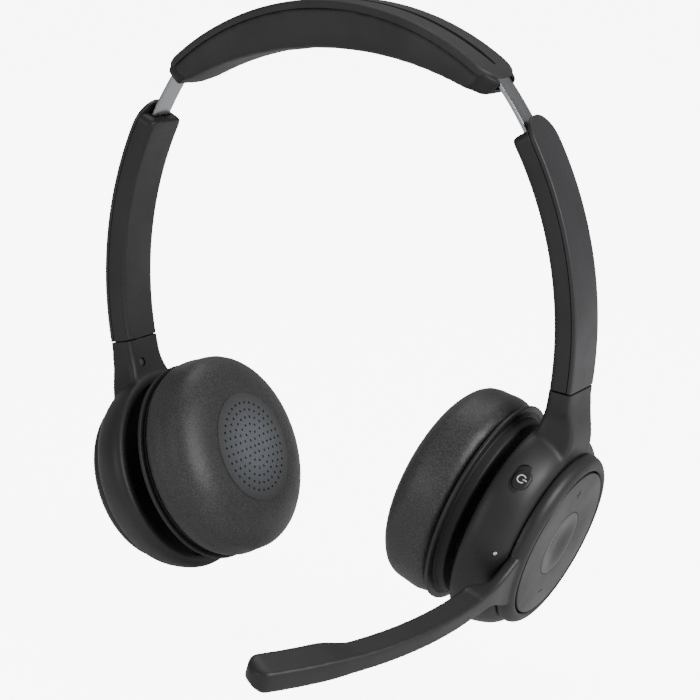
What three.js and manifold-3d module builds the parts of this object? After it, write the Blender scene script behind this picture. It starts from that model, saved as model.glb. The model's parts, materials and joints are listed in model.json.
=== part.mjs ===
// Wireless on-ear office headset with a boom microphone.
// Millimetres. X runs from ear to ear, the wearer faces -Y, +Z is up.
// The origin is the middle of the head, half way between the two ear cushion faces.
// The boom is on the wearer's left ear, at +X. Both sides are drawn for +X; the other side is the
// same drawing turned half a turn about Z, and all but the neck screw is symmetrical front to back.

import * as THREE from 'three';
import { mergeVertices } from 'three/addons/utils/BufferGeometryUtils.js';
import Module from 'manifold-3d';

const wasm = await Module();
wasm.setup();

// ---------------------------------------------------------------- driving dimensions

const GAP = 0.3; // clearance between touching pieces
const CUT = 1; // how far a cutting tool runs past the surface it opens

// headband
const BAND_R = 82.2; // top surface of the headband
const BAND_CENTRE_Z = 53.4; // centre of that arc
const BAND_END = 42.5; // degrees from the top to the end of the end caps
const BAND_W = 19.7; // front to back
const SHELL_T = 1.2; // top shell
const TRAY_T = 0.9; // floor and side walls of the tray under it
const TRAY_DEPTH = 4.2; // tray, floor to rim
const END_CAP_L = 4; // length of an end cap along the band
const PAD_R = 106; // underside of the head pad, a flatter arc
const PAD_MID_T = 7.6; // head pad thickness at the top of the head
const SLOT_W = 2.2; // long slot in the top shell
const SLOT_END_L = 2.5; // shell left beyond each end of the slot

// steel strips and the spring between them
const STRIP_T = 1.2;
const STRIP_W = 8;
const STRIP_TAIL_L = 17; // length of strip inside the headband
const STRIP_DEPTH = 2.2; // middle of the strip below the top surface at the end of the band
const TAIL_SINK = 0.6; // how much deeper the strip runs inside the headband than where it leaves it
const SPRING_T = 0.8;
const SPRING_W = 11;
const RIVET_R = 1.5;
const RIVET_PITCH = 6;

// arms
const ARM_R = 109.8; // middle of the arm
const ARM_CENTRE_Z = 47; // height of the arm's arc centre
const ARM_TOP = 30.4; // degrees, top end of the arm
const ARM_SEAM = -8.9; // degrees, swivel seam at the bottom of the arm
const ARM_T = 6.9; // arm thickness, inner face to outer face
const ARM_W = 15.9; // front to back
const ARM_WALL = 1.7;
const COVER_T = 1.2; // outer cover of the arm
const GUIDE_L = 8; // nylon guide on the end of the strip
const GUIDE_FOOT = 1.5; // the guide's closed foot, past the end of the strip
const GUIDE_SIDE = 1.2; // wall of the guide beside the strip
const GUIDE_FACE = 1; // wall of the guide over the strip
const SIZE_IN = 10.6; // how far the arm can slide towards the headband
const SIZE_OUT = 19; // and away from it
const SIZE_SPARE = 1; // strip left in the arm above the guide at the longest setting
const CHANNEL_SPARE = 3.9; // channel left under the guide at the shortest setting
const MOUTH_L = 1.6; // solid top of the arm that the strip passes through
const MOUTH_ROOM = 0.4; // clearance round the strip in that mouth

// swivel
const SWIVEL_SINK = 0.6; // swivel's axis inside the arm's middle line
const PIN_R = 1.7;
const PIN_UP = 8; // length in the arm
const PIN_DOWN = 9; // length in the neck
const SEAM_GAP = 0.5;
const NECK_L = 23; // neck of the housing below the seam
const NECK_SCREW_DROP = 7.6; // below the seam
const NECK_SCREW_BACK = 3;
const NECK_SCREW_IN = 1.1; // depth of its hole

// cup: depths are measured inwards from the face of the control dial, along the cup's axis
const EAR_GAP = 62.6; // between the two cushion faces, with nobody wearing it
const CUP_TILT = 21; // degrees that the cup's axis points downwards
const CUP_DEPTH = 43.2; // dial face to cushion face
const DIAL_R = 22.3;
const DIAL_T = 1.8;
const BUTTON_R = 9.8;
const BUTTON_DISH = 1.1; // hollow in the middle of the button
const RING_R = 26.5; // boom ring
const RING_DEPTH = 4.1;
const RING_TUBE_T = 1.2;
const HOUSING_R = 31.7; // rim of the housing
const HOUSING_DEPTH = 17.2; // dial face to housing rim
const RIM_ROUND = 2.3; // depth of the rounding inside the rim
const EDGE_ROUND = 5; // depth of the rounding on the housing's outer edge
const COVER_RECESS = 3.5; // rim to cup cover
const HOUSING_WALL = 2.1;
const SHOULDER_TOP = 39; // cup axis to where the shoulder meets the neck
const SHOULDER_LIP = 2.6; // outer face of the shoulder behind the seam with the ring
const SHOULDER_DEPTH = 15; // inner face of the shoulder
const SHOULDER_MEET = 47; // degrees from the neck to where the shoulder runs into the round
const FLOOR_T = 1.8; // outer floor of the housing
const BRIM_T = 1.6; // cup cover
const PLATE_R = 30.7; // pad plate
const PLATE_DEPTH = 21; // dial face to the back of the pad plate
const PLATE_T = 4.1;
const PLATE_RIM_T = 0.8; // thin rim behind the cushion
const PLATE_RIM_W = 3.2; // how far the rim stands out around the body of the plate
const WEB_RECESS = 0.8; // how much thinner the middle of the plate is
const CUSHION_R = 30.9;
const CUSHION_EDGE = 8; // rounding of the cushion's face
const PANEL_R = 16.7; // perforated centre of the cushion
const PANEL_T = 1;
const DRIVER_R = 16.5;
const DRIVER_T = 6.4;
const MAGNET_R = 8;
const MAGNET_T = 3.2;

// tilting joint between the cup cover and the pad plate
const TILT_DEPTH = 17.9; // dial face to the tilt axes
const CROSS_R = 10; // outside of the gimbal ring
const CROSS_T = 2.4;
const CROSS_H = 2.4;
const CROSS_PIN_R = 0.8;
const LUG_W = 3.4;
const LUG_T = 1.9;

// boom
const BOOM_REACH = 118; // cup axis to the tip
const BOOM_DROP = 5.7; // degrees below straight ahead
const BOOM_ROOT = 43; // cup axis to where the bend starts
const BOOM_BEND = 20; // how far the tip comes in towards the mouth
const BOOM_OFFSET = 3; // middle line of the boom below the cup axis
const BOOM_W = 5.6;
const BOOM_T = 6.6;
const BOOM_COVER_T = 2;
const BOOM_TIP_L = 2.6; // length of the rounded tip
const KNEE_L = 8; // length over which the boom grows from the ring's thickness to its own
const MIC_L = 24; // microphone head
const MIC_SWELL = 2; // how much thicker the head is than the boom
const MIC_R = 1.9;
const MIC_T = 1.5;
const MIC_ROOM = 3.4; // depth of the pocket under the boom's cover

// electronics
const BOARD_R = 19;
const BOARD_T = 1;
const BOARD_DEPTH = 9.2;
const DECK_T = 1.2;
const DOME_R = 2.4;
const DOME_T = 0.8;
const SWITCH_L = 6.6;
const SWITCH_W = 5;
const SWITCH_TRAVEL = 1.2; // each way
const SWITCH_ANGLE = 45; // degrees forward of the neck
const SWITCH_DEPTH = 10.3;
const LAMP_ANGLE = 86; // degrees forward of the neck
const LAMP_R = 0.8;
const USB_W = 9;
const USB_H = 3.3;
const USB_L = 6;
const USB_DEPTH = 11.3;
const BATTERY_L = 31;
const BATTERY_W = 24;
const BATTERY_T = 4.4;
const SCREW_R = 1.1;
const SCREW_L = 6;
const SCREW_HEAD_T = 0.8;
const POST_R = 2.1; // screw posts inside the housing

// facets
const ROUND = 28; // around a cup
const SMALL_ROUND = 10; // around a pin or a screw
const ARC = 5; // along a long arc

// ---------------------------------------------------------------- materials

const finish = {
  shell: { color: 0x2a2b2e, roughness: 0.55, metalness: 0 },
  cover: { color: 0x303135, roughness: 0.5, metalness: 0 },
  inner: { color: 0x1b1c1e, roughness: 0.7, metalness: 0 },
  dial: { color: 0x2e2f33, roughness: 0.45, metalness: 0 },
  button: { color: 0x36383c, roughness: 0.35, metalness: 0.1 },
  steel: { color: 0xb9bcc0, roughness: 0.25, metalness: 1 },
  brass: { color: 0xb08d4a, roughness: 0.35, metalness: 1 },
  leather: { color: 0x202124, roughness: 0.6, metalness: 0 },
  panel: { color: 0x3b4450, roughness: 0.85, metalness: 0 },
  nylon: { color: 0xd9d6cc, roughness: 0.6, metalness: 0 },
  board: { color: 0x1d5a3a, roughness: 0.5, metalness: 0 },
  foil: { color: 0x9aa4ad, roughness: 0.3, metalness: 0.6 },
  light: { color: 0xe8f4ee, roughness: 0.2, metalness: 0 },
};

// ---------------------------------------------------------------- helpers

const deg = THREE.MathUtils.degToRad;
const along = (length, radius) => length / radius; // angle of an arc of this length

function outward(geometry) {
  const p = geometry.attributes.position;
  const index = geometry.index.array;
  const [a, b, c] = [new THREE.Vector3(), new THREE.Vector3(), new THREE.Vector3()];
  let volume = 0;
  for (let i = 0; i < index.length; i += 3) {
    a.fromBufferAttribute(p, index[i]);
    b.fromBufferAttribute(p, index[i + 1]);
    c.fromBufferAttribute(p, index[i + 2]);
    volume += a.dot(b.cross(c));
  }
  if (volume < 0) {
    for (let i = 0; i < index.length; i += 3) {
      [index[i], index[i + 1]] = [index[i + 1], index[i]];
    }
  }
  return geometry;
}

// a closed geometry with shared corners, no slivers and its faces pointing out
function welded(geometry) {
  const bare = new THREE.BufferGeometry();
  bare.setAttribute('position', geometry.attributes.position.clone());
  bare.setIndex(geometry.index ? geometry.index.clone() : null);
  const merged = mergeVertices(bare, 1e-4);
  const kept = [];
  const index = merged.index.array;
  for (let i = 0; i < index.length; i += 3) {
    const [a, b, c] = [index[i], index[i + 1], index[i + 2]];
    if (a !== b && b !== c && c !== a) kept.push(a, b, c);
  }
  merged.setIndex(kept);
  return outward(merged);
}

function manifoldOf(geometry) {
  const closed = welded(geometry);
  return new wasm.Manifold(new wasm.Mesh({
    numProp: 3,
    vertProperties: new Float32Array(closed.attributes.position.array),
    triVerts: new Uint32Array(closed.index.array),
  }));
}

function geometryOf(manifold) {
  const mesh = manifold.getMesh();
  const geometry = new THREE.BufferGeometry();
  geometry.setAttribute('position', new THREE.BufferAttribute(mesh.vertProperties, 3));
  geometry.setIndex(new THREE.BufferAttribute(mesh.triVerts, 1));
  geometry.computeVertexNormals();
  return geometry;
}

function join(...geometries) {
  return geometryOf(geometries.map(manifoldOf).reduce((sum, next) => sum.add(next)));
}

function cut(geometry, ...tools) {
  return geometryOf(tools.map(manifoldOf).reduce((rest, tool) => rest.subtract(tool), manifoldOf(geometry)));
}

// a flat outline drawn in X and Z, given its width along Y and centred there
function slab(shape, width, bevel = 0, segments = ARC) {
  const geometry = new THREE.ExtrudeGeometry(shape, {
    depth: width - 2 * bevel,
    bevelEnabled: bevel > 0,
    bevelSize: bevel,
    bevelThickness: bevel,
    bevelOffset: -bevel,
    bevelSegments: 1,
    curveSegments: segments,
  });
  return geometry.translate(0, 0, bevel - width / 2).rotateX(Math.PI / 2);
}

// a stretch of a flat ring about the origin, from one angle to another
function sectorShape(inner, outer, from, to) {
  const shape = new THREE.Shape();
  shape.absarc(0, 0, outer, from, to, false);
  shape.absarc(0, 0, inner, to, from, true);
  return shape;
}

const sector = (inner, outer, from, to, width, bevel = 0, segments = ARC) =>
  slab(sectorShape(inner, outer, from, to), width, bevel, segments);

// a turned piece about Z: the profile is [radius, depth] pairs, and depth runs towards -Z
function turned(profile, segments = ROUND) {
  const points = profile.map(([radius, depth]) => new THREE.Vector2(radius, -depth));
  return new THREE.LatheGeometry([...points, points[0].clone()], segments).rotateX(Math.PI / 2);
}

// a turned washer or disc between two depths
const washer = (inner, outer, from, to, segments = ROUND) =>
  inner > 0
    ? turned([[inner, from], [outer, from], [outer, to], [inner, to]], segments)
    : new THREE.CylinderGeometry(outer, outer, to - from, segments)
      .rotateX(Math.PI / 2).translate(0, 0, -(from + to) / 2);

const box = (x, y, z) => new THREE.BoxGeometry(x, y, z);

const rod = (radius, length, segments = SMALL_ROUND) =>
  new THREE.CylinderGeometry(radius, radius, length, segments).rotateX(Math.PI / 2);

// a stadium outline, long axis along X
function stadium(length, width) {
  const shape = new THREE.Shape();
  const half = (length - width) / 2;
  shape.absarc(half, 0, width / 2, -Math.PI / 2, Math.PI / 2, false);
  shape.absarc(-half, 0, width / 2, Math.PI / 2, Math.PI * 1.5, false);
  return shape;
}

function mesh(name, geometry, material) {
  const piece = new THREE.Mesh(welded(geometry), new THREE.MeshStandardMaterial(finish[material]));
  piece.name = name;
  return piece;
}

function group(...children) {
  const holder = new THREE.Group();
  holder.add(...children);
  return holder;
}

// ---------------------------------------------------------------- places that pieces share

// the strip leaves the headband's end on the arm's arc, which sets how far over that arc's centre is
const bandEnd = deg(BAND_END);
const exitR = BAND_R - STRIP_DEPTH;
const exitX = exitR * Math.sin(bandEnd);
const exitZ = BAND_CENTRE_Z + exitR * Math.cos(bandEnd);
const armCentreX = exitX - Math.sqrt(ARM_R ** 2 - (exitZ - ARM_CENTRE_Z) ** 2);
const exitAngle = Math.atan2(exitZ - ARM_CENTRE_Z, exitX - armCentreX);

const armTop = deg(ARM_TOP);
const armSeam = deg(ARM_SEAM);
const armInner = ARM_R - ARM_T / 2;
const armOuter = ARM_R + ARM_T / 2;
const coverSeat = armOuter - COVER_T - GAP;

// the cup's frame: its origin on the dial face, +Z outwards along the cup's axis, +X down, +Y back
const cupTilt = deg(CUP_TILT);
const cupFrame = new THREE.Matrix4().makeRotationY(Math.PI / 2 + cupTilt).setPosition(
  EAR_GAP / 2 + CUP_DEPTH * Math.cos(cupTilt),
  0,
  -CUP_DEPTH * Math.sin(cupTilt),
);

// a geometry drawn about the arm's arc centre, moved into the cup's frame
function fromArm(geometry) {
  const toSide = new THREE.Matrix4().makeTranslation(armCentreX, 0, ARM_CENTRE_Z);
  return geometry.applyMatrix4(toSide).applyMatrix4(cupFrame.clone().invert());
}

// a rod on the swivel's axis, drawn about the arm's arc centre; lengths run up and down from the seam
function swivelRod(radius, up, down) {
  const geometry = rod(radius, up + down, SMALL_ROUND + 6).translate(0, 0, (up - down) / 2);
  return geometry.translate(ARM_R - SWIVEL_SINK, 0, 0).rotateY(-armSeam);
}

// ---------------------------------------------------------------- headband

const bandAngles = (end) => [Math.PI / 2 - end, Math.PI / 2 + end];
const capAngle = along(END_CAP_L, BAND_R);
const bodyEnd = bandEnd - capAngle; // where the shell, tray and pad stop
const trayRim = BAND_R - SHELL_T - GAP;
const trayFloor = trayRim - TRAY_DEPTH;
const padTop = trayFloor - GAP;
const padCentreDrop = PAD_R - (padTop - PAD_MID_T); // pad arc's centre below the band arc's centre

// distance from the band's centre to the underside of the pad, at an angle from the top
const padUnderside = (angle) =>
  -padCentreDrop * Math.cos(angle) + Math.sqrt(PAD_R ** 2 - (padCentreDrop * Math.sin(angle)) ** 2);

function headbandShell() {
  const body = sector(BAND_R - SHELL_T, BAND_R, ...bandAngles(bodyEnd - GAP / BAND_R), BAND_W, 0.5, ARC * 2);
  const slotEnd = bodyEnd - along(SLOT_END_L, BAND_R);
  const slot = sector(BAND_R - SHELL_T - CUT, BAND_R + CUT, ...bandAngles(slotEnd), SLOT_W, 0, ARC * 2);
  return cut(body, slot);
}

function slotLiner() {
  const end = bodyEnd - along(SLOT_END_L + GAP, BAND_R);
  return sector(trayRim, BAND_R - SHELL_T / 2, ...bandAngles(end), SLOT_W - 2 * GAP, 0, ARC * 2);
}

function headbandTray() {
  const ends = bandAngles(bodyEnd - GAP / BAND_R);
  const body = sector(trayFloor, trayRim, ...ends, BAND_W, 0, ARC * 2);
  const room = BAND_W - 2 * TRAY_T;
  const hollow = sector(trayFloor + TRAY_T, trayRim + CUT, ...bandAngles(bandEnd), room, 0, ARC * 2);
  return cut(body, hollow);
}

function headPad() {
  const end = bodyEnd - along(1, BAND_R);
  const lowAngle = Math.asin(padUnderside(end) * Math.sin(end) / PAD_R);
  const shape = new THREE.Shape();
  shape.absarc(0, 0, padTop, ...bandAngles(end), false);
  shape.absarc(0, -padCentreDrop, PAD_R, ...bandAngles(lowAngle).reverse(), true);
  return slab(shape, BAND_W, 0.8, ARC * 2);
}

function endCap() {
  const low = padUnderside(bandEnd) - 0.8;
  const body = sector(low, BAND_R, Math.PI / 2 - bandEnd, Math.PI / 2 - bodyEnd, BAND_W, 0.8, 2);
  const slot = box(STRIP_T + 2, STRIP_W + 1, 4 * END_CAP_L);
  const turn = -(exitAngle + (Math.PI / 2 - bandEnd)) / 2;
  const centre = [exitR * Math.cos(Math.PI / 2 - bandEnd), 0, exitR * Math.sin(Math.PI / 2 - bandEnd)];
  return cut(body, slot.rotateY(turn).translate(...centre));
}

// the strip's middle line: the arm's arc, then a tighter bend into the headband's own curve
const stripHiddenL = SIZE_OUT + GUIDE_L + SIZE_SPARE; // length of strip inside the arm
const stripLow = armTop - along(stripHiddenL, ARM_R);
const tailR = exitR - TAIL_SINK;
const tailTo = bandEnd - along(STRIP_TAIL_L, tailR);

function ribbon(line, thickness, width) {
  const offset = (sign) => line.map((point, i) => {
    const before = line[Math.max(i - 1, 0)];
    const after = line[Math.min(i + 1, line.length - 1)];
    const across = after.clone().sub(before).normalize();
    return new THREE.Vector2(-across.y, across.x).multiplyScalar(sign * thickness / 2).add(point);
  });
  return slab(new THREE.Shape([...offset(1), ...offset(-1).reverse()]), width);
}

function stripLine() {
  const steps = 12;
  const line = [];
  for (let i = 0; i <= steps; i += 1) {
    const angle = THREE.MathUtils.lerp(stripLow, exitAngle, i / steps);
    const [x, z] = [armCentreX + ARM_R * Math.cos(angle), ARM_CENTRE_Z + ARM_R * Math.sin(angle)];
    line.push(new THREE.Vector2(x, z));
  }
  const tailSteps = 5;
  for (let i = 1; i <= tailSteps; i += 1) {
    const angle = THREE.MathUtils.lerp(bandEnd, tailTo, i / tailSteps);
    const radius = THREE.MathUtils.lerp(exitR, tailR, Math.min(1, i / 2));
    line.push(new THREE.Vector2(radius * Math.sin(angle), BAND_CENTRE_Z + radius * Math.cos(angle)));
  }
  return line;
}

const springOuter = tailR - STRIP_T / 2 - GAP;
const rivetAngle = (i) => bandEnd - along(STRIP_TAIL_L - 3 - i * RIVET_PITCH, tailR);

// something on a rivet's axis, in the side's frame
function onRivet(geometry, i) {
  return geometry.translate(0, 0, tailR).rotateY(rivetAngle(i)).translate(0, 0, BAND_CENTRE_Z);
}

function rivet(i) {
  const reach = STRIP_T + GAP + SPRING_T;
  const shank = rod(RIVET_R - GAP, reach + GAP).translate(0, 0, (STRIP_T + GAP - reach) / 2);
  const head = rod(RIVET_R + 0.6, 0.5).translate(0, 0, STRIP_T / 2 + 0.35);
  return onRivet(join(shank, head), i);
}

function steelStrip() {
  const holes = [0, 1].map((i) => onRivet(rod(RIVET_R, 4), i));
  return cut(ribbon(stripLine(), STRIP_T, STRIP_W), ...holes);
}

function bandSpring() {
  const end = bodyEnd - along(0.5, tailR);
  const body = sector(springOuter - SPRING_T, springOuter, ...bandAngles(end), SPRING_W, 0, ARC * 2)
    .translate(0, 0, BAND_CENTRE_Z);
  const holes = [0, 1].map((i) => onRivet(rod(RIVET_R, 6), i));
  const otherHoles = [0, 1].map((i) => onRivet(rod(RIVET_R, 6), i).rotateZ(Math.PI));
  return cut(body, ...holes, ...otherHoles).translate(0, 0, -BAND_CENTRE_Z);
}

function stripGuide() {
  const low = stripLow - along(GUIDE_FOOT, ARM_R);
  const half = STRIP_T / 2 + GUIDE_FACE;
  const width = STRIP_W + 2 * GUIDE_SIDE;
  const body = sector(ARM_R - half, ARM_R + half, low, low + along(GUIDE_L, ARM_R), width, 0, 4);
  const slotHalf = STRIP_T / 2 + GAP;
  const slotAngles = [stripLow - along(GAP, ARM_R), low + along(GUIDE_L + CUT, ARM_R)];
  const slot = sector(ARM_R - slotHalf, ARM_R + slotHalf, ...slotAngles, STRIP_W + 2 * GAP, 0, 4);
  return cut(body, slot);
}

// ---------------------------------------------------------------- arm

const channelTop = armTop - along(MOUTH_L, ARM_R);
const channelL = stripHiddenL + GUIDE_FOOT + SIZE_IN + CHANNEL_SPARE;
const channelLow = armTop - along(channelL, ARM_R);

function armShell() {
  const body = sector(armInner, coverSeat, armSeam + along(SEAM_GAP / 2, ARM_R), armTop, ARM_W, 0.6);
  const channelFloor = ARM_R - STRIP_T / 2 - GUIDE_FACE - GAP / 2;
  const channel = sector(channelFloor, armOuter, channelLow, channelTop, ARM_W - 2 * ARM_WALL);
  const mouthHalf = STRIP_T / 2 + MOUTH_ROOM;
  const mouthTop = armTop + along(CUT, ARM_R);
  const mouthW = STRIP_W + 2 * MOUTH_ROOM;
  const mouth = sector(ARM_R - mouthHalf, ARM_R + mouthHalf, channelLow, mouthTop, mouthW, 0, 4);
  return cut(body, channel, mouth, swivelRod(PIN_R + GAP, PIN_UP + 0.5, 2));
}

function armCover() {
  const from = armSeam + along(SEAM_GAP / 2, ARM_R);
  return sector(armOuter - COVER_T, armOuter, from, armTop, ARM_W, 0.4);
}

const swivelPin = () => swivelRod(PIN_R, PIN_UP, PIN_DOWN);

// ---------------------------------------------------------------- cup, drawn in the cup's frame

const floorTop = RING_DEPTH + GAP; // depth where the housing's outer floor starts
const ringBore = DIAL_R + 0.4; // inside of the boom ring, around the dial
const tubeR = ringBore + RING_TUBE_T;
const floorBore = tubeR + GAP;
const cavityFloor = floorTop + FLOOR_T;
const ringTubeEnd = cavityFloor + 1.2;
const coverFloor = HOUSING_DEPTH - COVER_RECESS; // the cover closes the housing towards the ear

// the neck widens in a curve on each side until it runs into the round of the housing
function shoulderShape() {
  const half = ARM_W / 2;
  const meet = deg(SHOULDER_MEET);
  const meetR = HOUSING_R - 1;
  const [meetX, meetY] = [-meetR * Math.cos(meet), meetR * Math.sin(meet)];
  const waist = [-(HOUSING_R - 1), half + 1.5];
  const shape = new THREE.Shape();
  shape.moveTo(-SHOULDER_TOP, -half);
  shape.quadraticCurveTo(waist[0], -waist[1], meetX, -meetY);
  shape.lineTo(-HOUSING_R / 2, -half);
  shape.lineTo(-HOUSING_R / 2, half);
  shape.lineTo(meetX, meetY);
  shape.quadraticCurveTo(...waist, -SHOULDER_TOP, half);
  return shape;
}

function neckBody() {
  const top = armSeam - along(SEAM_GAP / 2, ARM_R);
  return fromArm(sector(armInner, armOuter, armSeam - along(NECK_L, ARM_R), top, ARM_W, 0.6, 6));
}

function shoulder() {
  const from = floorTop + SHOULDER_LIP;
  const depth = SHOULDER_DEPTH - from;
  return new THREE.ExtrudeGeometry(shoulderShape(), { depth, bevelEnabled: false, curveSegments: 5 })
    .translate(0, 0, -SHOULDER_DEPTH);
}

// the housing's outside, from the seam with the ring to the rim
const waistR = HOUSING_R - 1.2; // where the round of the edge ends
const waistDepth = HOUSING_DEPTH - RIM_ROUND - EDGE_ROUND;
const housingOutline = [
  [RING_R, floorTop],
  [RING_R + 2.2, floorTop + 2],
  [waistR, waistDepth],
  [HOUSING_R, HOUSING_DEPTH - RIM_ROUND],
  [HOUSING_R - 1, HOUSING_DEPTH],
];
const cavityR = waistR - HOUSING_WALL;

function switchPlace(geometry) {
  const radius = HOUSING_R - 1.3;
  return geometry.rotateY(Math.PI / 2).translate(radius, 0, -SWITCH_DEPTH)
    .rotateZ(Math.PI + deg(SWITCH_ANGLE));
}

function switchTool(length, width, depth) {
  const options = { depth, bevelEnabled: false, curveSegments: 6 };
  const block = new THREE.ExtrudeGeometry(stadium(length, width), options);
  return block.translate(0, 0, -depth).rotateZ(Math.PI / 2);
}

const lampDepth = floorTop + 2.6;

function lampPlace(geometry) {
  return geometry.rotateY(Math.PI / 2).rotateZ(Math.PI + deg(LAMP_ANGLE)).translate(0, 0, -lampDepth);
}

function usbPlace(geometry) {
  return geometry.translate(HOUSING_R - 2.2 - USB_L / 2, 0, -USB_DEPTH);
}

const usbBody = (grow) => box(USB_L + grow, USB_W + grow, USB_H + grow);

function neckScrewPlace(geometry) {
  const angle = armSeam - along(NECK_SCREW_DROP, ARM_R);
  return fromArm(geometry.rotateY(Math.PI / 2).translate(armInner, NECK_SCREW_BACK, 0).rotateY(-angle));
}

// the room inside the housing, and its posts for the cover's screws
function cavity() {
  const room = turned([
    [0, cavityFloor],
    [RING_R - HOUSING_WALL, cavityFloor],
    [cavityR, waistDepth],
    [cavityR, HOUSING_DEPTH + CUT],
    [0, HOUSING_DEPTH + CUT],
  ]);
  const height = 2 * (coverFloor - GAP - cavityFloor);
  const posts = atCoverScrews(() => rod(POST_R, height).translate(0, 0, coverFloor - cavityFloor));
  return cut(room, ...posts);
}

function housing(hasControls) {
  const round = turned([[0, floorTop], ...housingOutline, [0, HOUSING_DEPTH]]);
  const solid = join(round, shoulder(), neckBody());
  const tools = [
    cavity(),
    ...atCoverScrews(() => rod(SCREW_R + GAP, 2 * SCREW_L)),
    washer(0, floorBore, floorTop - CUT, cavityFloor + CUT),
    fromArm(swivelRod(PIN_R + GAP, 2, PIN_DOWN + 0.5)),
    neckScrewPlace(rod(SCREW_R + GAP, NECK_SCREW_IN + NECK_L).translate(0, 0, (NECK_SCREW_IN - NECK_L) / 2)),
  ];
  if (hasControls) {
    const through = SWITCH_L + 2 * SWITCH_TRAVEL + 2 * GAP;
    tools.push(switchPlace(switchTool(through, SWITCH_W + 2 * GAP, 9).translate(0, 0, 5)));
    tools.push(lampPlace(rod(LAMP_R + GAP, 12).translate(0, 0, RING_R + 2)));
    tools.push(box(12, USB_W + 2 * GAP, USB_H + 2 * GAP).translate(HOUSING_R, 0, -USB_DEPTH));
  }
  return cut(solid, ...tools);
}

// copies of a piece at the two cover screws, in front of and behind the tilting joint
function atCoverScrews(make) {
  const reach = floorBore + POST_R - 0.1;
  return [90, 270].map((angle) => make().translate(reach, 0, -coverFloor).rotateZ(deg(angle)));
}

function cupCover() {
  const lid = washer(0, cavityR - GAP, coverFloor, coverFloor + BRIM_T);
  const lugs = [-1, 1].map((side) => {
    const height = TILT_DEPTH + CROSS_PIN_R + 1 - coverFloor;
    return box(LUG_T, LUG_W, height)
      .translate(side * (CROSS_R + GAP + LUG_T / 2 + 0.4), 0, -(coverFloor + height / 2));
  });
  const bore = rod(CROSS_PIN_R + 0.2, 2 * CROSS_R + 12).rotateY(Math.PI / 2).translate(0, 0, -TILT_DEPTH);
  return cut(join(lid, ...lugs), bore, ...atCoverScrews(() => rod(SCREW_R + GAP, 12)));
}

function coverScrew() {
  const head = rod(SCREW_R + 0.7, SCREW_HEAD_T).translate(0, 0, -(BRIM_T + GAP + SCREW_HEAD_T / 2));
  const shank = rod(SCREW_R, SCREW_L).translate(0, 0, SCREW_L / 2 - BRIM_T - GAP - SCREW_HEAD_T / 2);
  return join(head, shank);
}

// gimbal ring: outer pins turn in the cover's lugs, inner pins in the pad plate's post
function gimbalRing() {
  const body = washer(CROSS_R - CROSS_T, CROSS_R, TILT_DEPTH - CROSS_H / 2, TILT_DEPTH + CROSS_H / 2, 28);
  const outerL = LUG_T + 1;
  const outerPin = (side) => rod(CROSS_PIN_R, outerL).rotateY(Math.PI / 2)
    .translate(side * (CROSS_R - 0.4 + outerL / 2), 0, -TILT_DEPTH);
  const innerL = 4.2;
  const innerPin = (side) => rod(CROSS_PIN_R, innerL).rotateX(Math.PI / 2)
    .translate(0, side * (CROSS_R - CROSS_T + 0.4 - innerL / 2), -TILT_DEPTH);
  return join(body, outerPin(-1), outerPin(1), innerPin(-1), innerPin(1));
}

const plateFace = PLATE_DEPTH + PLATE_T;
const plateWeb = PLATE_DEPTH + WEB_RECESS; // back of the thin middle of the plate

function padPlate() {
  const dish = turned([
    [0, plateWeb],
    [CROSS_R + 5.5, plateWeb],
    [CROSS_R + 7, PLATE_DEPTH],
    [PLATE_R - PLATE_RIM_W, PLATE_DEPTH],
    [PLATE_R - PLATE_RIM_W, plateFace - PLATE_RIM_T],
    [PLATE_R, plateFace - PLATE_RIM_T],
    [PLATE_R, plateFace],
    [0, plateFace],
  ]);
  const postR = CROSS_R - CROSS_T - 2.2;
  const postTop = TILT_DEPTH - CROSS_PIN_R - 0.7;
  const post = washer(0, postR, postTop, plateWeb + 0.4, 20);
  const bore = rod(CROSS_PIN_R + 0.2, 2 * CROSS_R).rotateX(Math.PI / 2).translate(0, 0, -TILT_DEPTH);
  return cut(join(dish, post), bore);
}

const driverBack = plateFace + GAP;
const driverFront = driverBack + MAGNET_T + DRIVER_T;

function driverMagnet() {
  return washer(0, MAGNET_R, driverBack, driverBack + MAGNET_T, 28);
}

function driverBasket() {
  const start = driverBack + MAGNET_T + GAP;
  return turned([
    [0, start],
    [MAGNET_R + 1, start],
    [DRIVER_R, start + 2.6],
    [DRIVER_R, driverFront],
    [DRIVER_R - 1.5, driverFront],
    [0, driverFront - 1.6],
  ], 32);
}

const pocketR = DRIVER_R + 1.2;
const panelSeat = CUP_DEPTH - 0.4 - PANEL_T; // back of the perforated panel

function earCushion() {
  const edge = CUSHION_EDGE;
  const face = CUP_DEPTH;
  const bulge = [0, 30, 60, 90].map((angle) => [
    CUSHION_R - edge + edge * Math.cos(deg(angle)),
    face - edge + edge * Math.sin(deg(angle)),
  ]);
  return turned([
    [0, driverFront + 1.4],
    [pocketR, driverFront + 1.4],
    [pocketR, plateFace + GAP],
    [CUSHION_R - 2, plateFace + GAP],
    [CUSHION_R, plateFace + 2.6],
    ...bulge,
    [PANEL_R + GAP, face - 0.5],
    [PANEL_R + GAP, panelSeat - GAP],
    [0, panelSeat - GAP],
  ]);
}

const earPanel = () => washer(0, PANEL_R, panelSeat, panelSeat + PANEL_T);

// ---------------------------------------------------------------- controls on the boom side

const deckTop = DIAL_T + 2.4; // depth of the deck that carries the switches

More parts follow.
